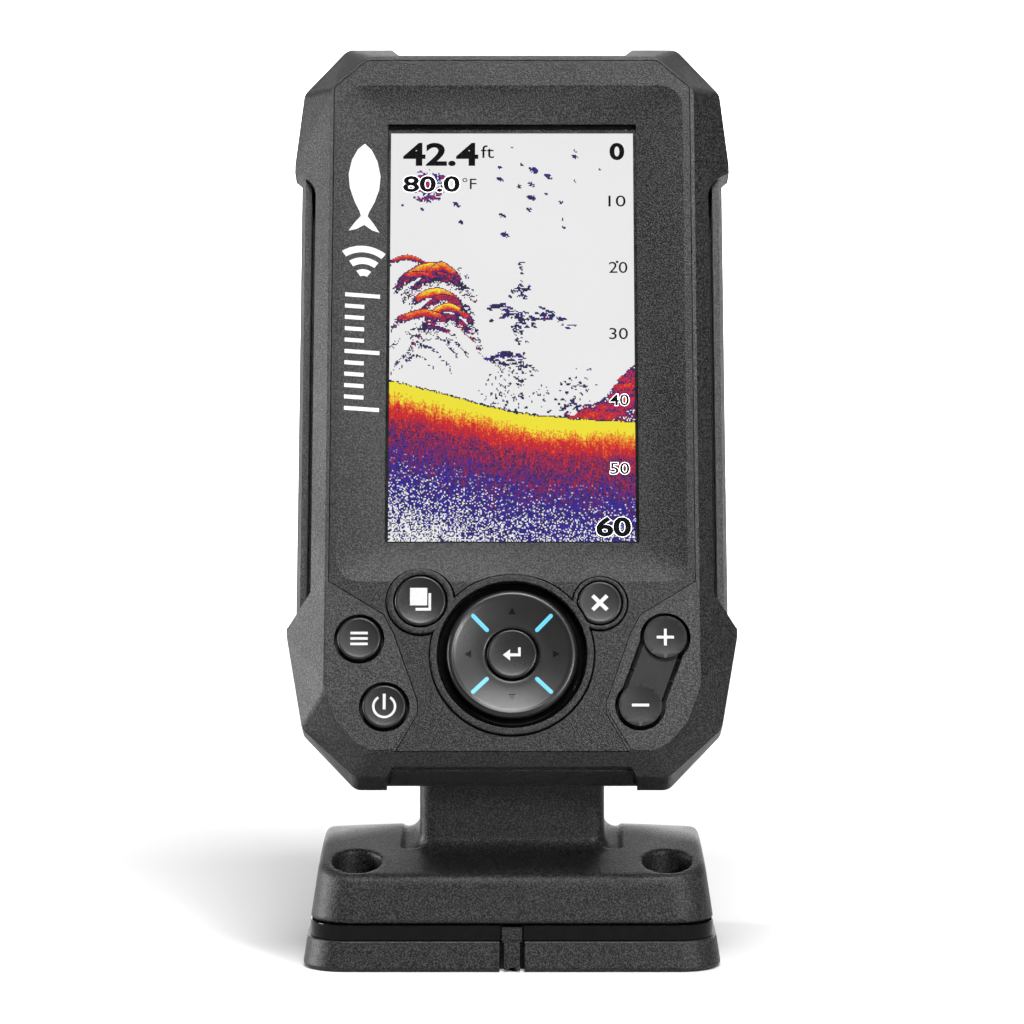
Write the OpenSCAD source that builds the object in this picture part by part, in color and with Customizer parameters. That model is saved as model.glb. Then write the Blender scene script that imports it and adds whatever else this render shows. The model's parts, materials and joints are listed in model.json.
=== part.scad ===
// Portrait fish finder on a tilt-and-swivel deck bracket.
// Millimetres. +Z is up, the screen faces -Y, and the origin is the centre of the deck face.
// Head pieces are drawn upright in the head's own frame and then leaned back about the tilt axle:
// there x is right, y runs back from the front face and z runs up from the middle of the screen.

/* [Head] */
// Lean of the screen from the vertical
lean = 20; // [8:1:30]
// Height of the tilt axle above the deck
axle_h = 58; // [56:1:64]
// Half width of the flat front face
face_hw = 40.9; // [40:0.1:41]
// Top of the front face above the screen's middle
face_top = 64.5; // [64:0.1:65]
// Bottom of the front face below the screen's middle
face_bottom = -94.2; // [-94.6:0.1:-94]
// Back of the rear case behind the face
case_back = 28; // [27:0.5:30]

/* [Screen] */
// Visible width of the display
screen_w = 53.9; // [53:0.1:54]
// Visible height of the display
screen_h = 94; // [93:0.1:95]
// Depth of the sloping recess round the screen
recess_depth = 2.5; // [2:0.1:2.6]

/* [Keys] */
// Radius of a round key cap
key_r = 4.65; // [4.2:0.05:4.7]
// Radius of a key's hole
key_hole_r = 5.45; // [5.3:0.05:5.5]
// How far a key cap stands out of the face
key_proud = 1.15; // [0.8:0.05:1.3]
// Radius of the direction ring
dpad_r = 14.1; // [13:0.1:14.2]
// Radius of the middle key
enter_r = 5.35; // [5:0.05:5.4]

/* [Bracket] */
// Half width of the foot at the deck
foot_hw = 45.9; // [44:0.1:48]
// Half depth of the foot at the deck
foot_hd = 30; // [29:0.5:32]
// Thickness of the foot plate
foot_t = 6.7; // [6.5:0.1:7]
// Thickness of the glossy slip plate
slip_t = 3.4; // [3.2:0.1:3.6]
// Height of the bracket's front top edge
shoulder_h = 20.4; // [20:0.1:21]
// Height of the bracket's crest
crest_h = 28.1; // [27.8:0.1:28.5]
// Half width of the neck
neck_hw = 20.4; // [19:0.1:20.5]
// Radius of the drum at the top of the neck
drum_r = 14; // [13:0.1:14.2]
// Half spacing of the deck screws across
screw_x = 34; // [33:0.5:35]
// Half spacing of the deck screws front to back
screw_y = 20; // [19:0.5:20]

/* [Hidden] */
$fn = 64;
corner_fn = 32;
skin = 0.01;
gap = 0.12;

// Tilt axle in the head's own frame
axle_y = 38;
axle_z = -72;
// Key centres as [x, z]
dpad_at = [0, -72.7];
pages_at = [-19.7, -61];
exit_at = [18.9, -61.4];
menu_at = [-32.8, -69.3];
power_at = [-27.3, -84.2];
plus_at = [32.9, -69];
minus_at = [27.45, -83.9];
zoom_mid = (plus_at + minus_at) / 2;
zoom_lean = atan2(plus_at[0] - minus_at[0], plus_at[1] - minus_at[1]);
exit_r = 4.7;
pages_r = 5.5;
// Surround round the direction ring, the pages key and the exit key
well_r = 16.1;
surround_r = 17.6;
pages_boss_r = 7.25;
exit_boss_r = 5.85;
exit_hole_r = 4.95;
pages_hole_r = 5.8;
surround_proud = 0.7;
// Layers behind the front face
plate_t = 2.2;
lens_y = 2.9;
lens_t = 1;
lcd_y = 4;
lcd_t = 1.6;
tray_t = 3;
mat_y = 5;
mat_t = 1;
key_board_y = 7;
key_board_t = 1.4;
board_y = 12;
board_t = 1.6;
frame_back = 10;
gasket_t = 0.8;
shelf_y = frame_back + gasket_t;
ear_back = 14;
boss_back = 15.9;
pad_proud = 0.3;
// Corner radius of the recess round the screen
recess_r = 5;
// Window in the fascia
window_hw = screen_w / 2 + 0.6;
window_top = screen_h / 2 + 2;
window_bottom = -screen_h / 2 - 0.2;
// Case screws as [x, z], one side
screw_spots = [[35, 54.2], [36.4, -8], [36.8, -78]];
screw_r = 1.5;
low_post_y = 5.1;
// Cable socket on the back
socket_z = 8;
socket_r = 9.5;
socket_mouth_r = 7.5;
socket_mouth_d = 5;
socket_proud = 6;
// Cradle on the back
cheek_in = 21.2;
cheek_out = 26.2;
cheek_r = 13;
axle_r = 3;
washer_gap = 0.05;
// Bracket
draft_x = 0.152;
draft_y = 0.11;
plan_r = 9;
well_hole_r = 5.4;
slip_z = foot_t + 0.1;
house_z = slip_z + slip_t + 0.3;
pin_r = 4;
latch_hw = 1.75;

// ---------- helpers ----------

// Puts children drawn in the head's frame where the head stands
module at_head() {
    translate([0, 0, axle_h]) rotate([-lean, 0, 0]) translate([0, -axle_y, -axle_z]) children();
}

// Puts children drawn along z onto the tilt axle, starting at x
module on_axle(x = 0) {
    translate([x, axle_y, axle_z]) rotate([0, 90, 0]) children();
}

// A plate from depth y0 to y1, its outline drawn as [x, z]
module slab(y0, y1) {
    translate([0, y1, 0]) rotate([90, 0, 0]) linear_extrude(y1 - y0) children();
}

// A rod along the head's depth at [x, z]
module rod(at, y0, y1, r) {
    translate([at[0], y1, at[1]]) rotate([90, 0, 0]) cylinder(h = y1 - y0, r = r);
}

// A block in the head's frame
module block(x0, x1, y0, y1, z0, z1) {
    translate([x0, y0, z0]) cube([x1 - x0, y1 - y0, z1 - z0]);
}

module both_sides() {
    children();
    mirror([1, 0, 0]) children();
}

// Eight-sided head outline; the chamfers are [across, up]
module head_outline(hw, top, bottom, ct, cb, r = 3) {
    offset(r = r, $fn = corner_fn) offset(delta = -r) polygon([
        [hw - cb[0], bottom], [hw, bottom + cb[1]], [hw, top - ct[1]], [hw - ct[0], top],
        [ct[0] - hw, top], [-hw, top - ct[1]], [-hw, bottom + cb[1]], [cb[0] - hw, bottom],
    ]);
}

face_ct = [8.6, 7.9];
face_cb = [10, 14];
rear_ct = [13, 14];
rear_cb = [16, 22];

module face_outline() { head_outline(face_hw, face_top, face_bottom, face_ct, face_cb, 4); }

// Widest outline, at the corner guards; the bottom flares a little towards the back
module guard_outline(bottom = -98) {
    offset(r = 3, $fn = corner_fn) offset(delta = -3) polygon(mirrored([
        [28, bottom], [33.8, bottom], [45.2, -87.5], [48.8, -67],
        [48.4, 41], [46.5, 57.7], [36.9, 68.4], [27, 68.4],
    ]));
}

// A right-hand run of points closed by its own mirror image
function mirrored(side) = concat(side, [for (i = [len(side) - 1:-1:0]) [-side[i][0], side[i][1]]]);

// Fascia outline, with the seams round the lower corner pads
fascia_side = [
    [24.8, -93.8], [20.2, -85.7], [20.2, -82.9], [25.4, -68], [27.6, -63.8], [39.5, -56.4],
    [39.5, 56.8], [32.3, 63.2],
];
module fascia_outline() { polygon(mirrored(fascia_side)); }

module rect(hw, bottom, top) {
    translate([-hw, bottom]) square([2 * hw, top - bottom]);
}

// Outer edge of the recess round the screen, with round corners
module recess_outline() {
    offset(r = recess_r, $fn = corner_fn) offset(delta = -recess_r) rect(37.9, -56.5, 57.3);
}

// Rounded rectangle with true arcs, centred
module round_rect(hw, hd, r) {
    square([2 * hw, 2 * (hd - r)], center = true);
    square([2 * (hw - r), 2 * hd], center = true);
    for (sx = [-1, 1]) for (sy = [-1, 1]) translate([sx * (hw - r), sy * (hd - r)]) circle(r);
}

module zoom_outline(r, waist) {
    for (p = [plus_at, minus_at]) translate(p) circle(r);
    translate(zoom_mid) rotate(-zoom_lean) square([2 * waist, norm(plus_at - minus_at)], center = true);
}

// ---------- front of the head ----------

// Ends of the guards where the waist begins
upper_end = [[43.5, 32.8], [43.9, 34.6], [45.1, 36.4], [48.2, 39.1], [60, 39.1]];
lower_end = [[43.5, -58.2], [48.6, -65.2], [60, -65.2]];

// Corner of the head that a guard covers; the inner edge runs across the corner
module guard_zone(upper, grow = 0) {
    if (upper) {
        waist_end = [for (p = upper_end) p - [0, grow]];
        polygon(concat([[26.6 - grow, 70], [25.2 - grow, 62]], waist_end, [[60, 70]]));
    } else {
        waist_end = [for (p = lower_end) p + [0, grow]];
        polygon(concat([[27.6 - grow, -101], [24.8 - grow, -93.8]], waist_end, [[60, -101]]));
    }
}

module front_frame() {
    color([0.13, 0.13, 0.14]) at_head() {
        difference() {
            union() {
                hull() {
                    slab(0, skin) offset(delta = -0.5) face_outline();
                    slab(0.6, 0.6 + skin) face_outline();
                    slab(7 - skin, 7) guard_outline();
                }
                slab(6.9, frame_back) head_outline(42.9, 63.6, -94, face_ct, face_cb);
                both_sides() for (upper = [true, false]) hull() {
                    slab(6.9, 6.9 + skin) intersection() { guard_outline(); guard_zone(upper); }
                    slab(ear_back - skin, ear_back) intersection() { guard_outline(-99.5); guard_zone(upper); }
                }
                both_sides() slab(-pad_proud, 1) corner_pad();
            }
            // waist at the sides, and the shallow steps in the middle of the top and bottom
            both_sides() slab(-1, 20) polygon(concat(upper_end, [for (i = [2:-1:0]) lower_end[i]]));
            slab(-1, 20) polygon(mirrored([[25.3, 65.1], [27, 68.5], [27, 80]]));
            slab(-1, 20) polygon(mirrored([[25.5, -96.3], [27, -98.1], [27, -110]]));
            slab(-1, plate_t) offset(delta = gap) fascia_outline();
            slab(plate_t - skin, 5) offset(delta = -2.6) fascia_outline();
            surround_cut(1.4, plate_t - skin, 5);
            slab(4, 7) head_outline(40.5, 61.2, -91.5, face_ct, face_cb);
            slab(6, 20) head_outline(40.5, 61.2, -91.5, face_ct, face_cb);
            slab(frame_back, 20) head_outline(44, 64.4, -94.8, face_ct, face_cb);
            for (p = [menu_at, power_at]) {
                rod(p, -2, 5, key_hole_r);
                rod(p, 2.4, 5, 6.4);
            }
            slab(-2, 5) zoom_outline(key_hole_r, 4.9);
            slab(2.4, 5) zoom_outline(6.7, 5.9);
        }
        both_sides() for (p = screw_spots) difference() {
            rod(p, p == screw_spots[2] ? low_post_y : 3.9, boss_back, 3.4);
            rod(p, 6, 17, screw_r + 0.05);
        }
        // rib that ties the lowest post, which starts behind the zoom rocker, to the wall
        both_sides() translate([0, 0, screw_spots[2][1]])
            block(39.4, 41.6, low_post_y, frame_back - 0.1, -1.2, 1.2);
    }
}

// Raised pad in each lower corner, between the seam and the face edge
module corner_pad() {
    polygon([
        [25.4, -93.4], [20.8, -85.6], [20.8, -83], [25.9, -68.3], [28, -64.2], [40, -56.8],
        [40.2, -80], [37.5, -87.4], [33.5, -92], [30, -93.6],
    ]);
}

module fascia() {
    color([0.15, 0.15, 0.16]) at_head() difference() {
        union() {
            slab(0, plate_t) fascia_outline();
            hull() {
                slab(plate_t - skin, plate_t) rect(36.4, -55.2, 56);
                slab(4.3, 4.3 + skin) rect(31.2, -50.8, 52.6);
            }
        }
        hull() {
            slab(-skin, 0) recess_outline();
            slab(recess_depth, recess_depth + skin) rect(window_hw, window_bottom, window_top);
        }
        slab(recess_depth, 5) rect(window_hw, window_bottom, window_top);
        slab(lens_y, 5) rect(30, -49.7, 51.5);
        surround_cut(0.3, -1, 5);
        surround_cut(1.4, plate_t, 5);
    }
}

// The three joined rounds of the surround, grown by a clearance
module surround_cut(grow, y0, y1) {
    rod(dpad_at, y0, y1, surround_r + grow);
    rod(pages_at, y0, y1, pages_boss_r + grow);
    rod(exit_at, y0, y1, exit_boss_r + grow);
}

module keypad_surround() {
    color([0.15, 0.15, 0.16]) at_head() difference() {
        union() {
            surround_cut(0, -surround_proud, 3);
            surround_cut(1.1, plate_t + 0.1, 3);
        }
        rod(dpad_at, -2, 4, well_r);
        rod(pages_at, -2, 4, pages_hole_r);
        difference() {
            rod(exit_at, -2, 4, exit_hole_r);
            rod(dpad_at, -3, 5, surround_r);
        }
    }
}

// ---------- display ----------

module window_lens() {
    color([0.05, 0.06, 0.08, 0.4]) at_head() block(-29.8, 29.8, lens_y, lens_y + lens_t, -49.5, 51.3);
}

module lcd_panel() {
    color([0.9, 0.92, 0.95]) at_head() block(-29, 29, lcd_y, lcd_y + lcd_t, -48.9, 50.7);
}

module backlight_tray() {
    color([0.75, 0.76, 0.78]) at_head() difference() {
        block(-31, 31, lcd_y + lcd_t + 0.05, lcd_y + lcd_t + tray_t, -50.6, 52.4);
        block(-27, 27, lcd_y + lcd_t + 1.2, lcd_y + lcd_t + tray_t + 1, -46, 48);
    }
}

// ---------- keys ----------

// A round key: dished cap, retaining flange and the stem that presses the mat
module round_key(at, r, flange_r, flange_y = 2.7) {
    difference() {
        union() {
            rod(at, -key_proud, flange_y + 0.3, r);
            rod(at, flange_y, flange_y + 0.6, flange_r);
            rod(at, flange_y + 0.5, 4, 1.5);
        }
        translate([at[0], -key_proud - 38.6, at[1]]) sphere(r = 39, $fn = 96);
    }
}

module menu_key() { color([0.2, 0.2, 0.21]) at_head() round_key(menu_at, key_r, 5.9); }
module power_key() { color([0.2, 0.2, 0.21]) at_head() round_key(power_at, key_r, 5.9); }
module pages_key() { color([0.2, 0.2, 0.21]) at_head() round_key(pages_at, pages_r, 6.3, 3.2); }
module enter_key() { color([0.2, 0.2, 0.21]) at_head() round_key(dpad_at, enter_r, 6.05, 2.3); }

module exit_key() {
    color([0.2, 0.2, 0.21]) at_head() difference() {
        round_key(exit_at, exit_r, 5.4, 3.2);
        rod(dpad_at, -3, 5, surround_r + 0.25);
    }
}

// Both zoom caps on one bar that rocks about its middle
module zoom_rocker() {
    color([0.2, 0.2, 0.21]) at_head() difference() {
        union() {
            for (p = [plus_at, minus_at]) rod(p, -key_proud, 3.6, 4.6);
            slab(-0.2, 3.6) zoom_outline(4.4, 3.85);
            slab(3.5, 4.1) zoom_outline(6, 5.2);
            translate([zoom_mid[0], 4, zoom_mid[1]]) rotate([0, zoom_lean, 0]) rotate([0, 90, 0])
                cylinder(h = 11.4, r = 0.7, center = true);
        }
        for (p = [plus_at, minus_at]) translate([p[0], -key_proud - 38.6, p[1]]) sphere(r = 39, $fn = 96);
    }
}

// Skirt that fills the well below the direction ring
skirt_r = 15.7;
// Profile of the direction ring as [radius, height above the face]
ring_profile = [
    [enter_r + 0.4, -1.6], [skirt_r, -1.6], [skirt_r, -1.3], [dpad_r, -0.6], [dpad_r, 0.75],
    [13.6, 1.25], [12.7, 1.1], [9.5, 0.62], [enter_r + 0.4, 0.5],
];
light_hw = 0.42;
light_in = 7.2;
light_out = 12.2;

module light_bars(grow, y0, y1) {
    for (a = [45:90:315]) translate([dpad_at[0], 0, dpad_at[1]]) rotate([0, a, 0])
        block(-light_hw - grow, light_hw + grow, y0, y1, light_in - grow, light_out + grow);
}

module dpad_ring() {
    color([0.2, 0.2, 0.21]) at_head() difference() {
        union() {
            translate([dpad_at[0], 0, dpad_at[1]]) rotate([90, 0, 0]) rotate_extrude() polygon(ring_profile);
            for (a = [0:90:270]) rod(dpad_at + 10.5 * [cos(a), sin(a)], 1.5, 4.1, 1.2);
        }
        light_bars(0.03, -2, 2);
    }
}

module dpad_lights() {
    color([0.45, 0.85, 0.95]) at_head() intersection() {
        light_bars(0, -1.4, 1.6);
        translate([dpad_at[0], 0, dpad_at[1]]) rotate([90, 0, 0]) rotate_extrude() polygon(ring_profile);
    }
}

// Small ring under the direction ring: the ring rocks sideways on it, and it rocks up and down
module dpad_cradle() {
    color([0.3, 0.3, 0.31]) at_head() difference() {
        union() {
            rod(dpad_at, 2.25, 2.95, 8.3);
            for (a = [0, 90]) translate([dpad_at[0], 2.6, dpad_at[1]]) rotate([0, a, 0])
                cylinder(h = 18.2, r = 0.33, center = true);
        }
        rod(dpad_at, 2, 4, 6.4);
    }
}

module keypad_mat() {
    color([0.35, 0.35, 0.37]) at_head() difference() {
        slab(mat_y, mat_y + mat_t) polygon(mirrored(mat_side));
        both_sides() rod(screw_spots[2], 4, 8, 3.8);
    }
}
mat_side = [[28, -91], [39.8, -79], [39.8, -56], [37, -54]];

module keypad_board() {
    color([0.05, 0.3, 0.15]) at_head() difference() {
        slab(key_board_y, key_board_y + key_board_t) polygon(mirrored(mat_side));
        both_sides() rod(screw_spots[2], 4, 12, 3.8);
    }
}

// One snap dome under each key and under each arm of the direction ring
dome_spots = [
    pages_at, exit_at, menu_at, power_at, plus_at, minus_at, dpad_at,
    dpad_at + [0, 10.5], dpad_at - [0, 10.5], dpad_at + [10.5, 0], dpad_at - [10.5, 0],
];

module dome_switches() {
    color([0.8, 0.8, 0.78]) at_head() for (p = dome_spots) {
        rod(p, 6.25, key_board_y, 2.2);
        rod(p, 6.1, 6.3, 1);
    }
}

// ---------- boards ----------

module main_board() {
    color([0.05, 0.3, 0.15]) at_head() difference() {
        block(-31, 31, board_y, board_y + board_t, -46, 57);
        for (sx = [-1, 1]) for (z = [-42, 53]) rod([sx * 28, z], board_y - 1, board_y + 3, 1.6);
    }
}

module shield_can() {
    color([0.75, 0.76, 0.78]) at_head() difference() {
        block(-26, 4, board_y + board_t, board_y + board_t + 3, 22, 52);
        block(-25.6, 3.6, board_y + board_t - 1, board_y + board_t + 2.6, 22.4, 51.6);
    }
}

// Flat cable from the keypad board up to the main board
module ribbon_cable() {
    color([0.85, 0.6, 0.3]) at_head() {
        block(-9, 9, key_board_y + key_board_t, key_board_y + key_board_t + 0.3, -60, -52);
        block(-9, 9, key_board_y + key_board_t, board_y + board_t + 0.3, -52.3, -52);
        block(-9, 9, board_y + board_t, board_y + board_t + 0.3, -52.3, -43);
    }
}

module sounder() {
    color([0.1, 0.1, 0.1]) at_head() difference() {
        rod([18, 38], board_y + board_t, board_y + board_t + 4.5, 6.5);
        rod([18, 38], board_y + board_t + 3, board_y + board_t + 6, 1.2);
    }
}

// ---------- rear case ----------

module case_gasket() {
    color([0.25, 0.25, 0.26]) at_head() slab(frame_back, shelf_y) difference() {
        head_outline(43, 63.4, -93.8, face_ct, face_cb);
        head_outline(41.2, 61.8, -92.2, face_ct, face_cb);
    }
}

module rear_case() {
    color([0.12, 0.12, 0.13]) at_head() {
        difference() {
            union() {
                hull() {
                    slab(5.4, 5.4 + skin) head_outline(45.9, 66.2, -96.4, rear_ct, rear_cb);
                    slab(8, 8 + skin) head_outline(46.8, 66.4, -96.7, rear_ct, rear_cb);
                    slab(15, 15 + skin) head_outline(46.9, 67, -98.2, rear_ct, rear_cb);
                    slab(20, 20 + skin) head_outline(46.1, 66.4, -97.4, rear_ct, rear_cb);
                    slab(24 - skin, 24) head_outline(43, 64, -94, rear_ct, rear_cb);
                }
                hull() {
                    slab(23, 23 + skin) head_outline(43.6, 64.4, -60, rear_ct, [6, 6]);
                    slab(case_back - skin, case_back) head_outline(39, 60, -54, rear_ct, [6, 6]);
                }
            }
            // room for the front frame's waist and skirt, down to the gasket shelf
            slab(0, shelf_y) head_outline(44.4, 64.4, -94.8, face_ct, face_cb);
            slab(0, 7.1) rect(44.5, -120, 90);
            both_sides() for (upper = [true, false]) slab(-1, ear_back + 0.1) difference() {
                guard_zone(upper, 0.1);
                head_outline(43.9, 64.3, -94.7, face_ct, face_cb);
            }
            // inside
            slab(shelf_y - 1, 21.6) head_outline(40.2, 60.8, -91.2, face_ct, face_cb);
            slab(15, 21.6) head_outline(44.2, 63.8, -94.6, rear_ct, rear_cb);
            slab(21, case_back - 2.4) rect(35.5, -51, 56);
            both_sides() for (p = screw_spots) {
                rod(p, 18.5, 40, 3.1);
                rod(p, 5, 19, screw_r + 0.2);
                rod(p, 9, boss_back + 0.1, 3.6);
            }
            rod([0, socket_z], 20, 40, socket_r + 0.1);
            rod([0, socket_z], case_back - 1.4, 40, 12.6);
            rod([-24, 44], 20, 40, 3.05);
            // scoop that clears the drum
            on_axle() cylinder(h = 55, r = drum_r + 1.2, center = true);
            for (p = cradle_spots) rod([p[0], p[1]], 20, 40, 1.55);
        }
        // wall behind the scoop, and the screw posts
        difference() {
            intersection() {
                on_axle()
                    cylinder(h = 59, r = drum_r + 3.4, center = true);
                block(-40, 40, 14, 23.4, -92, -54);
            }
            on_axle() cylinder(h = 55, r = drum_r + 1.2, center = true);
        }
        both_sides() for (p = screw_spots) difference() {
            rod(p, boss_back + 0.1, 22, 4.4);
            rod(p, 18.5, 40, 3.1);
            rod(p, 5, 19, screw_r + 0.2);
        }
    }
}

module case_screws() {
    color([0.7, 0.7, 0.72]) at_head() both_sides() for (p = screw_spots) difference() {
        union() {
            rod(p, 18.6, 20.6, 2.8);
            rod(p, 8, 18.7, screw_r);
        }
        translate([p[0], 21, p[1]]) rotate([90, 0, 0]) cylinder(h = 1.6, r = 1.3, $fn = 6);
    }
}

module cable_socket() {
    color([0.08, 0.08, 0.09]) at_head() difference() {
        union() {
            rod([0, socket_z], 21, case_back + socket_proud, socket_r);
            rod([0, socket_z], case_back - 0.6, case_back + 1, 12.4);
            rod([0, socket_z], 19, 21.5, 11);
        }
        rod([0, socket_z], case_back + socket_proud - socket_mouth_d, 50, socket_mouth_r);
        rod([0, socket_z], case_back - 5, 50, 6.8);
        for (p = pin_spots) rod([p[0], socket_z + p[1]], 18, 30, 0.6);
        block(-1, 1, case_back + 2, case_back + 8, socket_z + 7, socket_z + 8.6);
    }
}
pin_spots = [[0, 0], for (a = [0:60:300]) [4 * cos(a), 4 * sin(a)]];

module socket_pins() {
    color([0.85, 0.7, 0.35]) at_head() for (p = pin_spots)
        rod([p[0], socket_z + p[1]], 17, case_back + 0.4, 0.55);
}

module socket_seal() {
    color([0.3, 0.3, 0.31]) at_head() difference() {
        rod([0, socket_z], case_back - 1.35, case_back - 0.65, 12);
        rod([0, socket_z], case_back - 2, case_back, socket_r + 0.2);
    }
}

module vent_plug() {
    color([0.3, 0.3, 0.31]) at_head() union() {
        rod([-24, 44], case_back - 3, case_back, 3);
        rod([-24, 44], case_back, case_back + 0.8, 4);
    }
}

// ---------- tilt ----------

cradle_spots = [[-17, -46], [17, -46], [-17, -24], [17, -24]];

module tilt_cradle() {
    color([0.12, 0.12, 0.13]) at_head() difference() {
        union() {
            block(-cheek_out, cheek_out, case_back + 0.05, case_back + 3.5, -52, -18);
            both_sides() {
                on_axle(cheek_in) cylinder(h = cheek_out - cheek_in, r = cheek_r);
                hull() {
                    on_axle(cheek_in) cylinder(h = cheek_out - cheek_in, r = 9.9);
                    block(cheek_in, cheek_out, case_back + 0.05, case_back + 3.5, -50, -24);
                }
            }
        }
        for (p = cradle_spots) {
            rod(p, 20, 40, 1.7);
            rod(p, case_back + 2, 40, 3.1);
        }
        on_axle() cylinder(h = 80, r = axle_r + 0.02, center = true);
        on_axle(cheek_out - 2) cylinder(h = 5, r = 5.6);
        on_axle(-cheek_out - 1) cylinder(h = 3.5, r = 5.9, $fn = 6);
    }
}

module cradle_screws() {
    color([0.7, 0.7, 0.72]) at_head() for (p = cradle_spots) difference() {
        union() {
            rod(p, case_back + 2.05, case_back + 3.3, 2.8);
            rod(p, 23, case_back + 2.1, 1.5);
        }
        translate([p[0], case_back + 4, p[1]]) rotate([90, 0, 0]) cylinder(h = 1.3, r = 1.3, $fn = 6);
    }
}

module tilt_bolt() {
    color([0.7, 0.7, 0.72]) at_head() on_axle() difference() {
        union() {
            translate([0, 0, -cheek_out + 0.2]) cylinder(h = 2 * cheek_out - 2.15, r = axle_r);
            translate([0, 0, cheek_out - 1.95]) cylinder(h = 1.9, r = 5.2);
        }
        translate([0, 0, cheek_out - 1.3]) cylinder(h = 3, r = 2.2, $fn = 6);
    }
}

module tilt_nut() {
    color([0.7, 0.7, 0.72]) at_head() on_axle(-cheek_out + 0.3) difference() {
        cylinder(h = 2.1, r = 5.7, $fn = 6);
        translate([0, 0, -1]) cylinder(h = 5, r = axle_r + 0.02);
    }
}

module friction_washers() {
    color([0.6, 0.5, 0.3]) at_head() on_axle() both_ends() difference() {
        translate([0, 0, neck_hw + washer_gap + 0.02]) cylinder(h = cheek_in - neck_hw - 0.07, r = 9);
        cylinder(h = 30, r = axle_r + 0.3);
    }
}

module both_ends() {
    children();
    mirror([0, 0, 1]) children();
}

// ---------- bracket ----------

// Drafted block of the foot between two heights
module foot_block(z0, z1) {
    hull() {
        translate([0, 0, z0]) linear_extrude(skin, $fn = corner_fn)
            round_rect(foot_hw - draft_x * z0, foot_hd - draft_y * z0, plan_r);
        translate([0, 0, z1 - skin]) linear_extrude(skin, $fn = corner_fn)
            round_rect(foot_hw - draft_x * z1, foot_hd - draft_y * z1, plan_r);
    }
}

module corner_wells(z0, z1, r) {
    for (sx = [-1, 1]) for (sy = [-1, 1])
        translate([sx * screw_x, sy * screw_y, z0]) cylinder(h = z1 - z0, r = r);
}

// Section of the top, front to back
roof = [
    [-40, 17], [-27.8, shoulder_h], [-13.6, 24.4], [-4, 27.3], [-1.5, crest_h - 0.15], [0, crest_h],
    [1.5, crest_h - 0.15], [4, 27.3], [13.6, 24.4], [27.8, shoulder_h], [40, 17], [40, 0], [-40, 0],
];
neck_foot = 18;

module bracket() {
    color([0.12, 0.12, 0.13]) difference() {
        intersection() {
            foot_block(house_z, crest_h + 1);
            rotate([90, 0, 90]) translate([0, 0, -60]) linear_extrude(120) polygon(roof);
            translate([0, 0, 29 - 305]) rotate([90, 0, 0]) cylinder(h = 120, r = 305, center = true, $fn = 400);
        }
        corner_wells(0, 40, well_hole_r);
        translate([0, 0, house_z - 1]) cylinder(h = 12, r = 5.5);
        translate([0, 0, neck_foot - 0.05]) linear_extrude(20) round_rect(neck_hw + 0.05, drum_r - 0.35, 3.05);
        for (sx = [-1, 1]) translate([sx * 13, 0, 0]) {
            cylinder(h = 30, r = 1.7);
            cylinder(h = 13.5, r = 3.2);
        }
    }
}

// Upright that carries the drum: keyed into the bracket's top
module neck() {
    color([0.12, 0.12, 0.13]) difference() {
        union() {
            translate([0, 0, neck_foot]) linear_extrude(axle_h - neck_foot) round_rect(neck_hw, drum_r - 0.4, 3);
            translate([0, 0, axle_h]) rotate([0, 90, 0]) cylinder(h = 2 * neck_hw, r = drum_r, center = true);
        }
        translate([0, 0, axle_h]) rotate([0, 90, 0]) cylinder(h = 80, r = 5.02, center = true);
        both_sides() translate([neck_hw - 1.2, 0, axle_h]) rotate([0, 90, 0]) cylinder(h = 5, r = 7.05);
        for (sx = [-1, 1]) translate([sx * 13, 0, 10]) cylinder(h = 22, r = 1.55);
    }
}

module neck_screws() {
    color([0.7, 0.7, 0.72]) for (sx = [-1, 1]) translate([sx * 13, 0, 0]) difference() {
        union() {
            translate([0, 0, 11.6]) cylinder(h = 1.85, r = 2.9);
            translate([0, 0, 13.4]) cylinder(h = 16, r = 1.5);
        }
        translate([0, 0, 11]) cylinder(h = 1.6, r = 1.3, $fn = 6);
    }
}

// Flanged bushes that line the drum
module tilt_bushes() {
    color([0.85, 0.85, 0.8]) translate([0, 0, axle_h]) rotate([0, 90, 0]) both_ends() difference() {
        union() {
            translate([0, 0, 6]) cylinder(h = neck_hw - 6.1, r = 5);
            translate([0, 0, neck_hw - 1.15]) cylinder(h = 1.1, r = 7);
        }
        cylinder(h = 40, r = axle_r + 0.05);
    }
}

// Shoulder bolt: turns with the bracket in the foot plate
module swivel_bolt() {
    color([0.7, 0.7, 0.72]) difference() {
        union() {
            translate([0, 0, 0.8]) cylinder(h = 2.4, r = 6.5);
            translate([0, 0, 3]) cylinder(h = house_z - 3, r = pin_r);
            translate([0, 0, house_z - 1]) cylinder(h = 7.6, r = 3);
        }
        translate([0, 0, 0]) cylinder(h = 2.4, r = 2.6, $fn = 6);
    }
}

module swivel_insert() {
    color([0.8, 0.65, 0.3]) difference() {
        translate([0, 0, house_z + 0.05]) cylinder(h = 7.2, r = 5.45);
        translate([0, 0, house_z - 1]) cylinder(h = 9.2, r = 3.02);
    }
}

module wave_washer() {
    color([0.7, 0.7, 0.72]) difference() {
        translate([0, 0, 3.25]) cylinder(h = 0.7, r = 6.4);
        cylinder(h = 10, r = pin_r + 0.1);
    }
}

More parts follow.
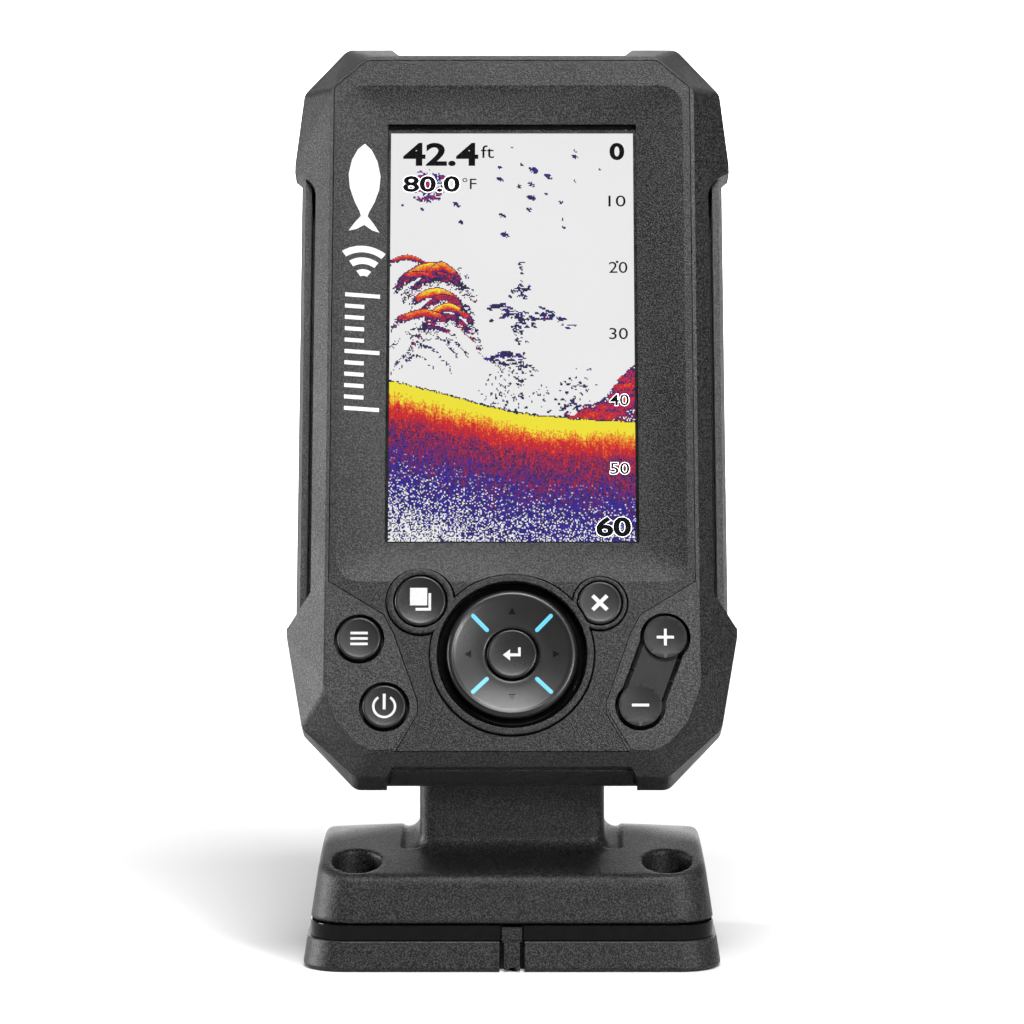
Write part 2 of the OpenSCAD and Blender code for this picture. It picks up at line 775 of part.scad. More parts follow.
module foot_plate() {
    color([0.12, 0.12, 0.13]) difference() {
        hull() {
            linear_extrude(skin, $fn = corner_fn) round_rect(foot_hw - 0.8, foot_hd - 0.8, plan_r - 0.8);
            foot_block(0.9, foot_t);
        }
        corner_wells(-1, 10, 2.25);
        corner_wells(foot_t - 3, 10, 4.6);
        translate([0, 0, -1]) cylinder(h = 20, r = pin_r + 0.05);
        translate([0, 0, -1]) cylinder(h = 5.2, r = 7.5);
        translate([-2.7, -40, -1]) cube([5.4, 14.2, 12]);
    }
}

module slip_plate() {
    color([0.03, 0.03, 0.03]) difference() {
        translate([0, 0, slip_z]) linear_extrude(slip_t) round_rect(44.2, 28.7, 8.6);
        corner_wells(0, 20, 5.2);
        cylinder(h = 20, r = pin_r + 0.05);
        translate([-2.5, -40, 0]) cube([5, 15.2, 20]);
    }
}

// Press tab in the front notch, with its wider head in the slip plate's gap
module latch_tab() {
    color([0.12, 0.12, 0.13]) difference() {
        union() {
            translate([-latch_hw, -foot_hd + 0.6, 0.5]) cube([2 * latch_hw, 2, 6]);
            translate([-2.2, -foot_hd + 1.7, 6.4]) cube([4.4, 1.4, 3.2]);
            translate([-latch_hw, -foot_hd + 1.7, 5]) cube([2 * latch_hw, 0.9, 2]);
        }
        translate([0, -30, 0]) rotate([-90, 0, 0]) cylinder(h = 10, r = 1);
    }
}

// Small leaf spring behind the tab
module latch_spring() {
    color([0.7, 0.7, 0.72]) translate([-1.2, -foot_hd + 3.55, 1.5]) cube([2.4, 0.5, 3]);
}

// ---------- output ----------

front_frame();
fascia();
keypad_surround();
window_lens();
lcd_panel();
backlight_tray();
keypad_mat();
keypad_board();
dome_switches();
main_board();
shield_can();
ribbon_cable();
sounder();
case_gasket();
rear_case();
case_screws();
cable_socket();
socket_pins();
socket_seal();
vent_plug();
tilt_cradle();
cradle_screws();
tilt_bolt();
tilt_nut();
friction_washers();
pages_key();
menu_key();
power_key();
exit_key();
enter_key();
zoom_rocker();
dpad_cradle();
dpad_ring();
dpad_lights();
bracket();
neck();
neck_screws();
tilt_bushes();
swivel_bolt();
swivel_insert();
wave_washer();
foot_plate();
slip_plate();
latch_tab();
latch_spring();
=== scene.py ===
import json
import math
import bmesh
import bpy
import numpy as np
import openvdb
from mathutils import Matrix, Vector


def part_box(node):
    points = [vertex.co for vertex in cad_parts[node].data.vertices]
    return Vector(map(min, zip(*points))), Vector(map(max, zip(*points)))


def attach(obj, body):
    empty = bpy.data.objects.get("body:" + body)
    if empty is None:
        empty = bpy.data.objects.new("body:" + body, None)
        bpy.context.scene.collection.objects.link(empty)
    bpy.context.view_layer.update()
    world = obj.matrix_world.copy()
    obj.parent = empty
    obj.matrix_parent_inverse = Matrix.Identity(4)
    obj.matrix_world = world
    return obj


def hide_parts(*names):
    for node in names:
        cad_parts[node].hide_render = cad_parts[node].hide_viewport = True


# A fish finder on its deck bracket, put together from the deck up. Metres in the shared frame.
# Sizes inside each section are in millimetres, as on a drawing, and mm turns them into metres.
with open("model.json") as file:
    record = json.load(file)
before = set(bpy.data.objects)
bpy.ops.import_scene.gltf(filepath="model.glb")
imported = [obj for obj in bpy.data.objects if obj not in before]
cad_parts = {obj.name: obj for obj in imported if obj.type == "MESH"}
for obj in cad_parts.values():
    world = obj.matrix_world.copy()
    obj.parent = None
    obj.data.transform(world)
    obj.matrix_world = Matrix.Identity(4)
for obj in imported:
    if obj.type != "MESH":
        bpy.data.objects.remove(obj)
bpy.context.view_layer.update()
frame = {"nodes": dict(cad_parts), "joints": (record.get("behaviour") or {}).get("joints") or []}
nodes = frame["nodes"]
joints = {j["name"]: j for j in frame["joints"]}
mm = 0.001

# ---- Studio -------------------------------------------------------------------------------------
# A pale sweep that curves up behind, with a wash of light on its wall. One big soft box hangs
# overhead, a tall strip catches the left flank, and a small fill stands in front at the right.
sweep_half_width = 4.0
sweep_front = -3.0
sweep_turn_at = 1.4
sweep_turn_radius = 0.7
sweep_top = 3.2
sweep_turn_steps = 12
sweep_shade = 0.46


def placed(name, shape):
    """A new piece, lamp or camera, standing in the scene."""
    piece = bpy.data.objects.new(name, shape)
    bpy.context.scene.collection.objects.link(piece)
    return piece


def mixed(tree, factor, dark, light):
    """A colour that runs from dark to light as the factor goes from 0 to 1."""
    tint = tree.nodes.new("ShaderNodeMix")
    tint.data_type = "RGBA"
    tint.inputs[6].default_value = (*dark, 1)
    tint.inputs[7].default_value = (*light, 1)
    tree.links.new(factor, tint.inputs[0])
    return tint.outputs[2]


def pale_paint(name, shade, tooth):
    """Matt painted board with a faint roller tooth."""
    paint = bpy.data.materials.new(name)
    paint.use_nodes = True
    tree = paint.node_tree
    board = tree.nodes["Principled BSDF"]
    board.inputs["Roughness"].default_value = 0.9
    board.inputs["Specular IOR Level"].default_value = 0.1
    place = tree.nodes.new("ShaderNodeTexCoord")
    patch = tree.nodes.new("ShaderNodeTexNoise")
    patch.inputs["Scale"].default_value = tooth
    tree.links.new(place.outputs["Object"], patch.inputs["Vector"])
    tint = mixed(tree, patch.outputs["Fac"], [shade * 0.985] * 3, [shade] * 3)
    tree.links.new(tint, board.inputs["Base Color"])
    return paint


profile = [(sweep_front, 0.0), (sweep_turn_at, 0.0)]
for step in range(1, sweep_turn_steps + 1):
    turn = math.radians(90 * step / sweep_turn_steps)
    profile.append((
        sweep_turn_at + sweep_turn_radius * math.sin(turn),
        sweep_turn_radius * (1 - math.cos(turn)),
    ))
profile.append((profile[-1][0], sweep_top))
sweep_mesh = bpy.data.meshes.new("sweep")
sweep_mesh.from_pydata(
    [(side * sweep_half_width, y, z) for y, z in profile for side in (-1, 1)],
    [],
    [(2 * i, 2 * i + 1, 2 * i + 3, 2 * i + 2) for i in range(len(profile) - 1)],
)
sweep_mesh.shade_smooth()
sweep_mesh.materials.append(pale_paint("pale_sweep", sweep_shade, 3.0))
sweep = placed("sweep", sweep_mesh)

surround_light = bpy.data.worlds.new("surround_light")
surround_light.use_nodes = True
sky = surround_light.node_tree.nodes["Background"]
sky.inputs["Color"].default_value = (1, 1, 1, 1)
sky.inputs["Strength"].default_value = 0.1
bpy.context.scene.world = surround_light
bpy.context.scene.view_settings.view_transform = "Standard"

# each lamp: where it stands, what it aims at, its width and height, its watts and its cone in degrees
lit_point = Vector((0, 0, 0.10))
wall_point = Vector((0, 1.9, 0.3))
for lamp_name, place, aim, across, tall, power, cone in (
    ("overhead_box", (0.10, -0.70, 1.30), lit_point, 0.6, 0.45, 40.0, 180),
    ("left_strip", (-0.98, 0.06, 0.20), lit_point, 0.3, 0.5, 19.0, 180),
    ("front_fill", (0.68, -1.12, 0.50), lit_point, 0.25, 0.3, 20.0, 180),
    ("wall_wash", (0, 0.9, 2.6), wall_point, 2.4, 0.8, 120.0, 80),
):
    lamp_data = bpy.data.lights.new(lamp_name, "AREA")
    lamp_data.shape = "RECTANGLE"
    lamp_data.size = across
    lamp_data.size_y = tall
    lamp_data.energy = power
    lamp_data.spread = math.radians(cone)
    lamp = placed(lamp_name, lamp_data)
    lamp.location = place
    lamp.rotation_mode = "QUATERNION"
    lamp.rotation_quaternion = (aim - Vector(place)).to_track_quat("-Z", "Y")

# The head leans back on its tilt bolt. face() takes a point drawn on the upright head, x right,
# z up from the middle of the screen and y back from the front face, to where the head stands.
tilt = joints["head_tilt"]
press = Vector(joints["menu_press"]["axis"])
lean = math.atan2(-press.z, press.y)
bolt_behind_face = 38.0
bolt_below_middle = 72.0
head_place = (
    Matrix.Translation(tilt["pos_m"])
    @ Matrix.Rotation(-lean, 4, "X")
    @ Matrix.Translation((0, -bolt_behind_face * mm, bolt_below_middle * mm))
    @ Matrix.Scale(mm, 4)
)


def face(x, z, y=0.0):
    return head_place @ Vector((x, y, z))


# a long lens that looks a little down on the middle of the screen
look_down = math.radians(5)
standoff = 0.907
aim_drop = 0.0387
screen_depth = 3.5
forward = Vector((0, math.cos(look_down), -math.sin(look_down)))
upward = Vector((0, math.sin(look_down), math.cos(look_down)))
lens = bpy.data.cameras.new("long_lens")
lens.sensor_width = 36
lens.lens = 145.05
camera = placed("camera", lens)
camera.location = face(0, 0, screen_depth) - standoff * forward - aim_drop * upward
camera.rotation_mode = "QUATERNION"
camera.rotation_quaternion = forward.to_track_quat("-Z", "Y")
bpy.context.scene.camera = camera

# ---- Foot plate ---------------------------------------------------------------------------------
# Glass-filled nylon plate, injection moulded in a spark-eroded tool, so its skin is a fine grey
# grain. Four screws hold it to the deck. Its notch in front takes the latch tab.
grain_pitch = 3000.0
grain_depth = 0.1
grain_edges = (0.46, 0.6)
handling_pitch = 38.0
handling_sheen = 0.06
grain_sheen = 0.05
weld_gap = 0.002
sliver = 0.05
flat_turn = math.radians(0.6)


def spread(tree, source, low, high, start, end):
    """A value remapped from low..high to start..end."""
    remap = tree.nodes.new("ShaderNodeMapRange")
    remap.inputs["From Min"].default_value = low
    remap.inputs["From Max"].default_value = high
    remap.inputs["To Min"].default_value = start
    remap.inputs["To Max"].default_value = end
    tree.links.new(source, remap.inputs["Value"])
    return remap.outputs["Result"]


def noise(tree, place, pitch, detail=2.0, roughness=0.5):
    patch = tree.nodes.new("ShaderNodeTexNoise")
    patch.inputs["Scale"].default_value = pitch
    patch.inputs["Detail"].default_value = detail
    patch.inputs["Roughness"].default_value = roughness
    tree.links.new(place.outputs["Object"], patch.inputs["Vector"])
    return patch.outputs["Fac"]


def finish_of(name, dark, light, rough, pitch, depth, edges=(0.35, 0.65), metal=0.0, coat=0.0,
              streak=None, shine=0.5):
    """A moulded or machined skin: speckled colour, uneven sheen and a raised grain depth mm deep."""
    skin = bpy.data.materials.new(name)
    skin.use_nodes = True
    tree = skin.node_tree
    body = tree.nodes["Principled BSDF"]
    body.inputs["Metallic"].default_value = metal
    body.inputs["Specular IOR Level"].default_value = shine
    body.inputs["Coat Weight"].default_value = coat
    body.inputs["Coat Roughness"].default_value = 0.06
    place = tree.nodes.new("ShaderNodeTexCoord")
    if streak:
        stretch = tree.nodes.new("ShaderNodeMapping")
        stretch.inputs["Scale"].default_value = streak
        tree.links.new(place.outputs["Object"], stretch.inputs["Vector"])
        grain_source = tree.nodes.new("ShaderNodeTexNoise")
        grain_source.inputs["Scale"].default_value = pitch
        tree.links.new(stretch.outputs["Vector"], grain_source.inputs["Vector"])
        grain = grain_source.outputs["Fac"]
    else:
        grain = noise(tree, place, pitch, 3.0, 0.62)
    speck = spread(tree, grain, edges[0], edges[1], 0.0, 1.0)
    handled = noise(tree, place, handling_pitch, 4.0, 0.6)
    tree.links.new(mixed(tree, speck, dark, light), body.inputs["Base Color"])
    uneven = tree.nodes.new("ShaderNodeMath")
    uneven.operation = "ADD"
    smooth, matt = rough - handling_sheen, rough + handling_sheen
    tree.links.new(spread(tree, handled, 0.3, 0.7, smooth, matt), uneven.inputs[0])
    tree.links.new(spread(tree, grain, 0.3, 0.7, grain_sheen, -grain_sheen), uneven.inputs[1])
    tree.links.new(uneven.outputs["Value"], body.inputs["Roughness"])
    raised = tree.nodes.new("ShaderNodeBump")
    raised.inputs["Strength"].default_value = 1.0
    raised.inputs["Distance"].default_value = depth * mm
    tree.links.new(grain, raised.inputs["Height"])
    tree.links.new(raised.outputs["Normal"], body.inputs["Normal"])
    return skin


def settle(piece, body, slot, *stood_for):
    """Hangs a finished piece on its body and hides the CAD solids it stands for. The slot is not used.
    """
    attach(piece, body)
    if stood_for:
        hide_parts(*stood_for)
    return piece


def evened(piece, crease):
    """Keeps flat faces flat where they meet a rounded edge, with a crease at any sharper turn."""
    piece.data.shade_smooth()
    piece.data.set_sharp_from_angle(angle=math.radians(crease))
    even = piece.modifiers.new("even_shading", "WEIGHTED_NORMAL")
    even.weight = 80
    even.keep_sharp = True
    return piece


def finished(name, shape, finish):
    """A piece made from a worked shape, with its finish on."""
    mesh = bpy.data.meshes.new(name)
    shape.to_mesh(mesh)
    shape.free()
    mesh.materials.append(finish)
    return placed(name, mesh)


def softened(node, name, finish, edge, least_turn=18, steps=2):
    """The CAD solid with its sharp edges rounded to edge mm, as they leave the tool."""
    shape = bmesh.new()
    shape.from_mesh(nodes[node].data)
    shape.transform(Matrix.Scale(1 / mm, 4))
    bmesh.ops.remove_doubles(shape, verts=shape.verts, dist=weld_gap)
    bmesh.ops.dissolve_degenerate(shape, edges=shape.edges, dist=sliver)
    bmesh.ops.dissolve_limit(shape, angle_limit=flat_turn, verts=shape.verts, edges=shape.edges)
    sharpest = math.radians(least_turn)
    rounded = [e for e in shape.edges if e.is_manifold and e.calc_face_angle() > sharpest]
    bmesh.ops.bevel(
        shape, geom=rounded, offset=edge, offset_type="OFFSET", segments=steps,
        profile=0.5, affect="EDGES", clamp_overlap=True,
    )
    shape.normal_update()
    bmesh.ops.triangulate(shape, faces=[f for f in shape.faces if len(f.verts) > 4])
    shape.transform(Matrix.Scale(mm, 4))
    return evened(finished(name, shape, finish), least_turn)


case_grain = finish_of(
    "spark_grain", (0.0001, 0.0001, 0.0002), (0.028, 0.0283, 0.0293), 0.42,
    grain_pitch, grain_depth, grain_edges, shine=0.21,
)
foot = softened("foot_plate", "foot_plate_moulding", case_grain, 0.35)
settle(foot, "foot", "case_plastic", "foot_plate")

# ---- Slip plate, wave washer and swivel bolt ----------------------------------------------------
# Polished black acetal that the bracket turns on, lying in the gap above the foot. The shoulder
# bolt comes up through foot and slip plate into a brass insert, with a wave washer under it.
polished_black = finish_of(
    "polished_black", (0.001, 0.001, 0.0011), (0.002, 0.002, 0.0022), 0.08, 420.0, 0.002, shine=0.1,
)
slip = softened("slip_plate", "slip_plate_moulding", polished_black, 0.15)
settle(slip, "foot", "gloss_black", "slip_plate")

stainless = finish_of(
    "stainless", (0.2, 0.2, 0.205), (0.32, 0.32, 0.33), 0.34, 900.0, 0.01, metal=1.0, streak=(1, 1, 9),
)
brass = finish_of(
    "turned_brass", (0.36, 0.24, 0.1), (0.48, 0.34, 0.16), 0.28, 900.0, 0.008,
    metal=1.0, streak=(1, 1, 9),
)


def dressed(node, finish):
    """A CAD solid that stays as it is and takes a finish."""
    solid = nodes[node]
    solid.data.materials.clear()
    solid.data.materials.append(finish)
    return solid


for node in ("wave_washer", "swivel_bolt", "latch_spring", "neck_screws", "tilt_bolt", "tilt_nut"):
    dressed(node, stainless)
dressed("swivel_insert", brass)

# ---- Latch --------------------------------------------------------------------------------------
# A press tab in the notch of the foot, with a wider head behind the slip plate's gap. One nylon
# moulding, pushed in against the little leaf spring.
latch = softened("latch_tab", "latch_tab_moulding", case_grain, 0.12)
settle(latch, "latch", "case_plastic", "latch_tab")

# ---- Bracket and neck ---------------------------------------------------------------------------
# The bracket is a drafted shell with a gabled top, four screw wells and a crest. The neck stands
# on it with a fillet and ends in the drum that the head tilts on. Built as one solid from
# distances: each wall is a distance in mm, and walls meet with a rounding of their own.
voxel = 0.5
turning_gap = 0.3
deck_gap_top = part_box("slip_plate")[1].z / mm + turning_gap
foot_half_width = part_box("foot_plate")[1].x / mm
foot_half_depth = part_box("foot_plate")[1].y / mm
side_draft = 0.152
end_draft = 0.11
plan_round = 9.0
neck_half_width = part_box("neck")[1].x / mm
drum_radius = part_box("neck")[1].y / mm
drum_height = tilt["pos_m"][2] / mm
well_across = 34.0
well_along = 20.0
well_radius = 5.4
crest_radius = 305.0
crest_top = 29.0
crest_half_width = 24.3
crest_half_depth = 13.9
crest_side_ease = 0.5
crest_front_ease = 0.4
crest_step = 0.55
gable_top = 28.6
gable_fall = 0.285
ridge_round = 2.0
square_to_slope = 0.96
crest_round = 1.2
wall_round = 1.9
under_edge_round = 0.35
well_lip_round = 0.45
post_round = 3.0
post_inset = 0.4
post_foot = 17.0
post_fillet = 3.2
drum_round = 1.0
bush_radius = 5.05
bush_lip_round = 0.3
flange_radius = 7.1
flange_thickness = 1.2
swivel_radius = 5.5
swivel_top = 21.5
screw_from_middle = 13.0
screw_head_radius = 3.2
screw_head_top = 13.5
screw_shank_radius = 1.7
screw_top = 31.0

drum_top = drum_height + drum_radius
reach = np.array([foot_half_width + 2, foot_half_depth + 2, (drum_top + 2 - deck_gap_top) / 2 + 1])
middle = np.array([0, 0, (drum_top + deck_gap_top) / 2])
counts = np.ceil(2 * reach / voxel).astype(int)
corner = middle - counts * voxel / 2
gx, gy, gz = np.meshgrid(
    *[(corner[i] + voxel * np.arange(counts[i])).astype(np.float32) for i in range(3)],
    indexing="ij", sparse=True,
)


def meet(a, b, r):
    """Intersection of two solids whose shared edge is rounded to r mm."""
    h = np.clip(0.5 - 0.5 * (b - a) / r, 0, 1)
    return b + (a - b) * h + r * h * (1 - h)


def join(a, b, r):
    """Union of two solids with a fillet of r mm between them."""
    return -meet(-a, -b, r)


def rounded_plan(half_x, half_y, r):
    """Distance from an upright block whose corners are rounded to r mm in plan."""
    qx = np.abs(gx) - (half_x - r)
    qy = np.abs(gy) - (half_y - r)
    outside = np.sqrt(np.maximum(qx, 0) ** 2 + np.maximum(qy, 0) ** 2)
    return outside + np.minimum(np.maximum(qx, qy), 0) - r


walls = rounded_plan(foot_half_width - side_draft * gz, foot_half_depth - end_draft * gz, plan_round)
gable = gz - (gable_top - gable_fall * np.sqrt(gy ** 2 + ridge_round ** 2))
barrel = gz - (crest_top - gx ** 2 / (2 * crest_radius))
step_across = np.clip((crest_half_width - np.abs(gx)) / crest_side_ease, 0, 1)
step_front = np.clip((crest_half_depth - np.abs(gy)) / crest_front_ease, 0, 1)
trough = crest_step * step_across * step_front
housing = meet(walls, meet(gable, barrel, crest_round) * square_to_slope + trough, wall_round)
housing = meet(housing, deck_gap_top - gz, under_edge_round)
for wx in (-well_across, well_across):
    for wy in (-well_along, well_along):
        from_well = np.sqrt((gx - wx) ** 2 + (gy - wy) ** 2)
        housing = meet(housing, well_radius - from_well, well_lip_round)

post = rounded_plan(neck_half_width, drum_radius - post_inset, post_round)
post = meet(meet(post, gz - drum_height, 0.5), post_foot - gz, 0.5)
from_bolt = np.sqrt(gy ** 2 + (gz - drum_height) ** 2)
drum = meet(from_bolt - drum_radius, np.abs(gx) - neck_half_width, drum_round)
solid = join(housing, join(post, drum, drum_round), post_fillet)
solid = meet(solid, bush_radius - from_bolt, bush_lip_round)
flange_seat = np.maximum(from_bolt - flange_radius, neck_half_width - flange_thickness - np.abs(gx))
solid = np.maximum(solid, -flange_seat)
swivel_way = np.maximum(np.sqrt(gx ** 2 + gy ** 2) - swivel_radius, gz - swivel_top)
solid = np.maximum(solid, -swivel_way)
for side in (-1, 1):
    from_screw = np.sqrt((gx - side * screw_from_middle) ** 2 + gy ** 2)
    solid = np.maximum(solid, -np.maximum(from_screw - screw_head_radius, gz - screw_head_top))
    solid = np.maximum(solid, -np.maximum(from_screw - screw_shank_radius, gz - screw_top))

grid = openvdb.FloatGrid()
grid.background = 3.0
grid.copyFromArray(np.ascontiguousarray((solid / voxel).astype(np.float32)))
spots, quads = grid.convertToQuads(isovalue=0.0)
bracket_mesh = bpy.data.meshes.new("bracket_moulding")
bracket_mesh.from_pydata(
    ((spots * voxel + corner) * mm).tolist(), [], [tuple(q[::-1]) for q in quads.tolist()],
)
bracket_mesh.validate()
bracket_mesh.shade_smooth()
bracket_mesh.materials.append(case_grain)
bracket = placed("bracket_moulding", bracket_mesh)
settle(bracket, "swivel", "case_plastic", "bracket", "neck")

# ---- Tilt hardware and cradle -------------------------------------------------------------------
# Acetal bushes line the drum. A stainless bolt runs through them and through the two cheeks of
# the cradle, which four screws hold to the back of the head.
acetal = finish_of("natural_acetal", (0.7, 0.69, 0.63), (0.8, 0.79, 0.74), 0.4, 700.0, 0.01)
rubber = finish_of("moulded_rubber", (0.018, 0.018, 0.02), (0.03, 0.03, 0.032), 0.72, 1500.0, 0.03)
dressed("tilt_bushes", acetal)
dressed("friction_washers", rubber)
dressed("cradle_screws", stainless)
cradle = softened("tilt_cradle", "tilt_cradle_moulding", case_grain, 0.5)
settle(cradle, "head", "case_plastic", "tilt_cradle")

# ---- Rear case ----------------------------------------------------------------------------------
# Back half of the head, the same grained nylon, with the posts for the six case screws, the scoop
# for the drum, and a rubber vent plug that lets pressure out.
rear = softened("rear_case", "rear_case_moulding", case_grain, 0.45, least_turn=14)
settle(rear, "head", "case_plastic", "rear_case")
dressed("case_screws", stainless)
vent = softened("vent_plug", "vent_plug_moulding", rubber, 0.25)
settle(vent, "head", "silicone", "vent_plug")

# ---- Cable socket -------------------------------------------------------------------------------
# Seven gold-plated pins in a glossy black shell with a key slot, sealed to the case by a flat
# rubber ring.
socket = softened("cable_socket", "cable_socket_moulding", polished_black, 0.3)
settle(socket, "head", "gloss_black", "cable_socket")
dressed("socket_pins", brass)
dressed("socket_seal", rubber)

# ---- Boards, gasket and inner parts -------------------------------------------------------------
# What the case closes over: the main board with its shield can and sounder, the keypad board with
# snap domes under a silicone mat, the flat cable between them and the gasket round them all.
solder_mask = finish_of("solder_mask", (0.012, 0.07, 0.03), (0.02, 0.1, 0.045), 0.34, 500.0, 0.012)
tin_plate = finish_of(
    "tin_plate", (0.6, 0.6, 0.6), (0.74, 0.74, 0.75), 0.3, 700.0, 0.006, metal=1.0, streak=(1, 6, 1),
)
film = finish_of("polyimide_film", (0.42, 0.2, 0.05), (0.6, 0.32, 0.1), 0.3, 260.0, 0.004, coat=0.4)
for node in ("main_board", "keypad_board"):
    dressed(node, solder_mask)
for node in ("keypad_mat", "case_gasket", "dpad_cradle"):
    dressed(node, rubber)
dressed("dome_switches", stainless)
dressed("shield_can", tin_plate)
dressed("ribbon_cable", film)
dressed("sounder", polished_black)
dressed("backlight_tray", tin_plate)

# ---- Front frame --------------------------------------------------------------------------------
# The structural front of the head: four corner guards, the waist between them, and a raised pad in each
# lower corner. Grained nylon, a little finer than the bracket's, but it takes the same finish as the
# bracket.
front = softened("front_frame", "front_frame_moulding", case_grain, 0.3, least_turn=16)
settle(front, "head", "case_plastic", "front_frame")

# ---- Fascia and keypad surround -----------------------------------------------------------------
# A snap-in trim with a sloping recess down to the window. The surround is a raised rim that
# joins the rounds of the direction ring, the pages key and the exit key.
fascia_grain = finish_of(
    "fascia_grain", (0.0001, 0.0001, 0.0002), (0.023, 0.0232, 0.024), 0.4,
    grain_pitch, grain_depth, grain_edges, shine=0.15,
)
trim = softened("fascia", "fascia_moulding", fascia_grain, 0.2, least_turn=9)
settle(trim, "head", "fascia_plastic", "fascia")
rim = softened("keypad_surround", "keypad_surround_moulding", fascia_grain, 0.28, steps=3)
settle(rim, "head", "fascia_plastic", "keypad_surround")

# ---- Keys ---------------------------------------------------------------------------------------
# Satin caps with a dished top, a rounded rim, a retaining flange and a stem, turned about their
# own axis. White symbols are moulded through from the back, a hair proud of the dish.
key_satin = finish_of(
    "key_satin", (0.004, 0.004, 0.0043), (0.006, 0.006, 0.0064), 0.34, 3600.0, 0.012, shine=0.28,
)
symbol_white = finish_of("symbol_white", (0.3, 0.3, 0.3), (0.35, 0.35, 0.35), 0.45, 900.0, 0.004)
proud = 1.15
dish_radius = 39.0
dish_sink = 0.4
rim_round = 0.42
rim_land = 0.25
flange_thick = 0.6
stem_radius = 1.5
stem_foot = 4.0
crease = math.radians(40)


def dish(r):
    """Depth of the dished top at r from the key's middle, behind the front face."""
    return -proud - (dish_radius - dish_sink) + math.sqrt(dish_radius ** 2 - r ** 2)


def cap_profile(r, flange, flange_at):
    """Half section of a key from the middle of its dish to the foot of its stem, as (radius, depth)."""
    start = r - rim_round - rim_land
    section = [(start * i / 8, dish(start * i / 8)) for i in range(9)]
    top = dish(start) - 0.05
    for i in range(7):
        turn = math.radians(90 * i / 6)
        section.append((r - rim_round * (1 - math.sin(turn)), top + rim_round * (1 - math.cos(turn))))
    flange_foot = flange_at + flange_thick
    return section + [
        (r, flange_at), (flange, flange_at), (flange, flange_foot),
        (stem_radius, flange_foot), (stem_radius, stem_foot), (0, stem_foot),
    ]


def turned(name, section, at, finish, sides=72):
    """A closed piece of revolution about a line along the head's depth through at."""
    shape = bmesh.new()
    rings = []
    for r, y in section:
        if r < 1e-6:
            rings.append([shape.verts.new((at[0], y, at[1]))])
        else:
            rings.append([
                shape.verts.new((at[0] + r * math.cos(a), y, at[1] + r * math.sin(a)))
                for a in (2 * math.pi * i / sides for i in range(sides))
            ])
    pairs = list(zip(rings, rings[1:]))
    if len(rings[0]) > 1:
        pairs.append((rings[-1], rings[0]))
    for near, far in pairs:
        for i in range(sides):
            j = (i + 1) % sides
            if len(near) == 1:
                shape.faces.new((near[0], far[i], far[j]))
            elif len(far) == 1:
                shape.faces.new((near[i], far[0], near[j]))
            else:
                shape.faces.new((near[i], far[i], far[j], near[j]))
    bmesh.ops.recalc_face_normals(shape, faces=shape.faces)
    shape.transform(head_place)
    piece = finished(name, shape, finish)
    piece.data.shade_smooth()
    piece.data.set_sharp_from_angle(angle=crease)
    return piece


def plates(name, outlines, surface, finish, lift=0.03, sink=0.25):
    """Flat plates drawn as outlines of (x, z), lift mm proud of a surface and sink mm into it."""
    shape = bmesh.new()
    for outline in outlines:
        top = [shape.verts.new((x, surface(x, z) - lift, z)) for x, z in outline]
        low = [shape.verts.new((x, surface(x, z) + sink, z)) for x, z in outline]
        shape.faces.new(top)
        shape.faces.new(low[::-1])
        for i in range(len(top)):
            j = (i + 1) % len(top)
            shape.faces.new((top[i], low[i], low[j], top[j]))
    shape.normal_update()
    flat = [f for f in shape.faces if len(f.verts) > 4]
    bmesh.ops.triangulate(shape, faces=flat)
    bmesh.ops.recalc_face_normals(shape, faces=shape.faces)
    shape.transform(head_place)
    return finished(name, shape, finish)


def bar(x0, z0, x1, z1):
    """A plain rectangle between two corners."""
    return [(x0, z0), (x1, z0), (x1, z1), (x0, z1)]


def cross(arm, half):
    """A plus with arms arm mm long and twice half mm wide."""
    return [(-arm, -half), (-half, -half), (-half, -arm), (half, -arm), (half, -half), (arm, -half),
            (arm, half), (half, half), (half, arm), (-half, arm), (-half, half), (-arm, half)]


def shifted(outline, at, turn=0.0):
    """The outline turned about its own middle and moved to a place on the face."""
    c, s = math.cos(turn), math.sin(turn)
    return [(at[0] + x * c - z * s, at[1] + x * s + z * c) for x, z in outline]


def arc_band(inner, outer, first, last, steps=28):
    """Part of a ring between two angles in degrees, counted from straight up, clockwise."""
    angles = [math.radians(90 - first - (last - first) * i / steps) for i in range(steps + 1)]
    return [(outer * math.cos(a), outer * math.sin(a)) for a in angles] + [
        (inner * math.cos(a), inner * math.sin(a)) for a in reversed(angles)
    ]


def key_symbol(name, drawing, at, size, turn=0.0):
    """A white symbol drawn about a key's middle and laid on its dished top."""
    sized = [[(x * size, z * size) for x, z in outline] for outline in drawing]
    return plates(
        name, [shifted(outline, at, turn) for outline in sized],
        lambda x, z: dish(math.hypot(x - at[0], z - at[1])), symbol_white,
    )


ring_at = (0.0, -72.7)
pages_at = (-19.7, -61.0)
exit_at = (18.9, -61.4)
menu_at = (-32.8, -69.3)
power_at = (-27.3, -84.2)
plus_at = (32.9, -69.0)
minus_at = (27.45, -83.9)
print_size = 0.92
power_pieces = [arc_band(2.25, 2.8, 33, 327, 40), bar(-0.33, -0.7, 0.33, 3.0)]
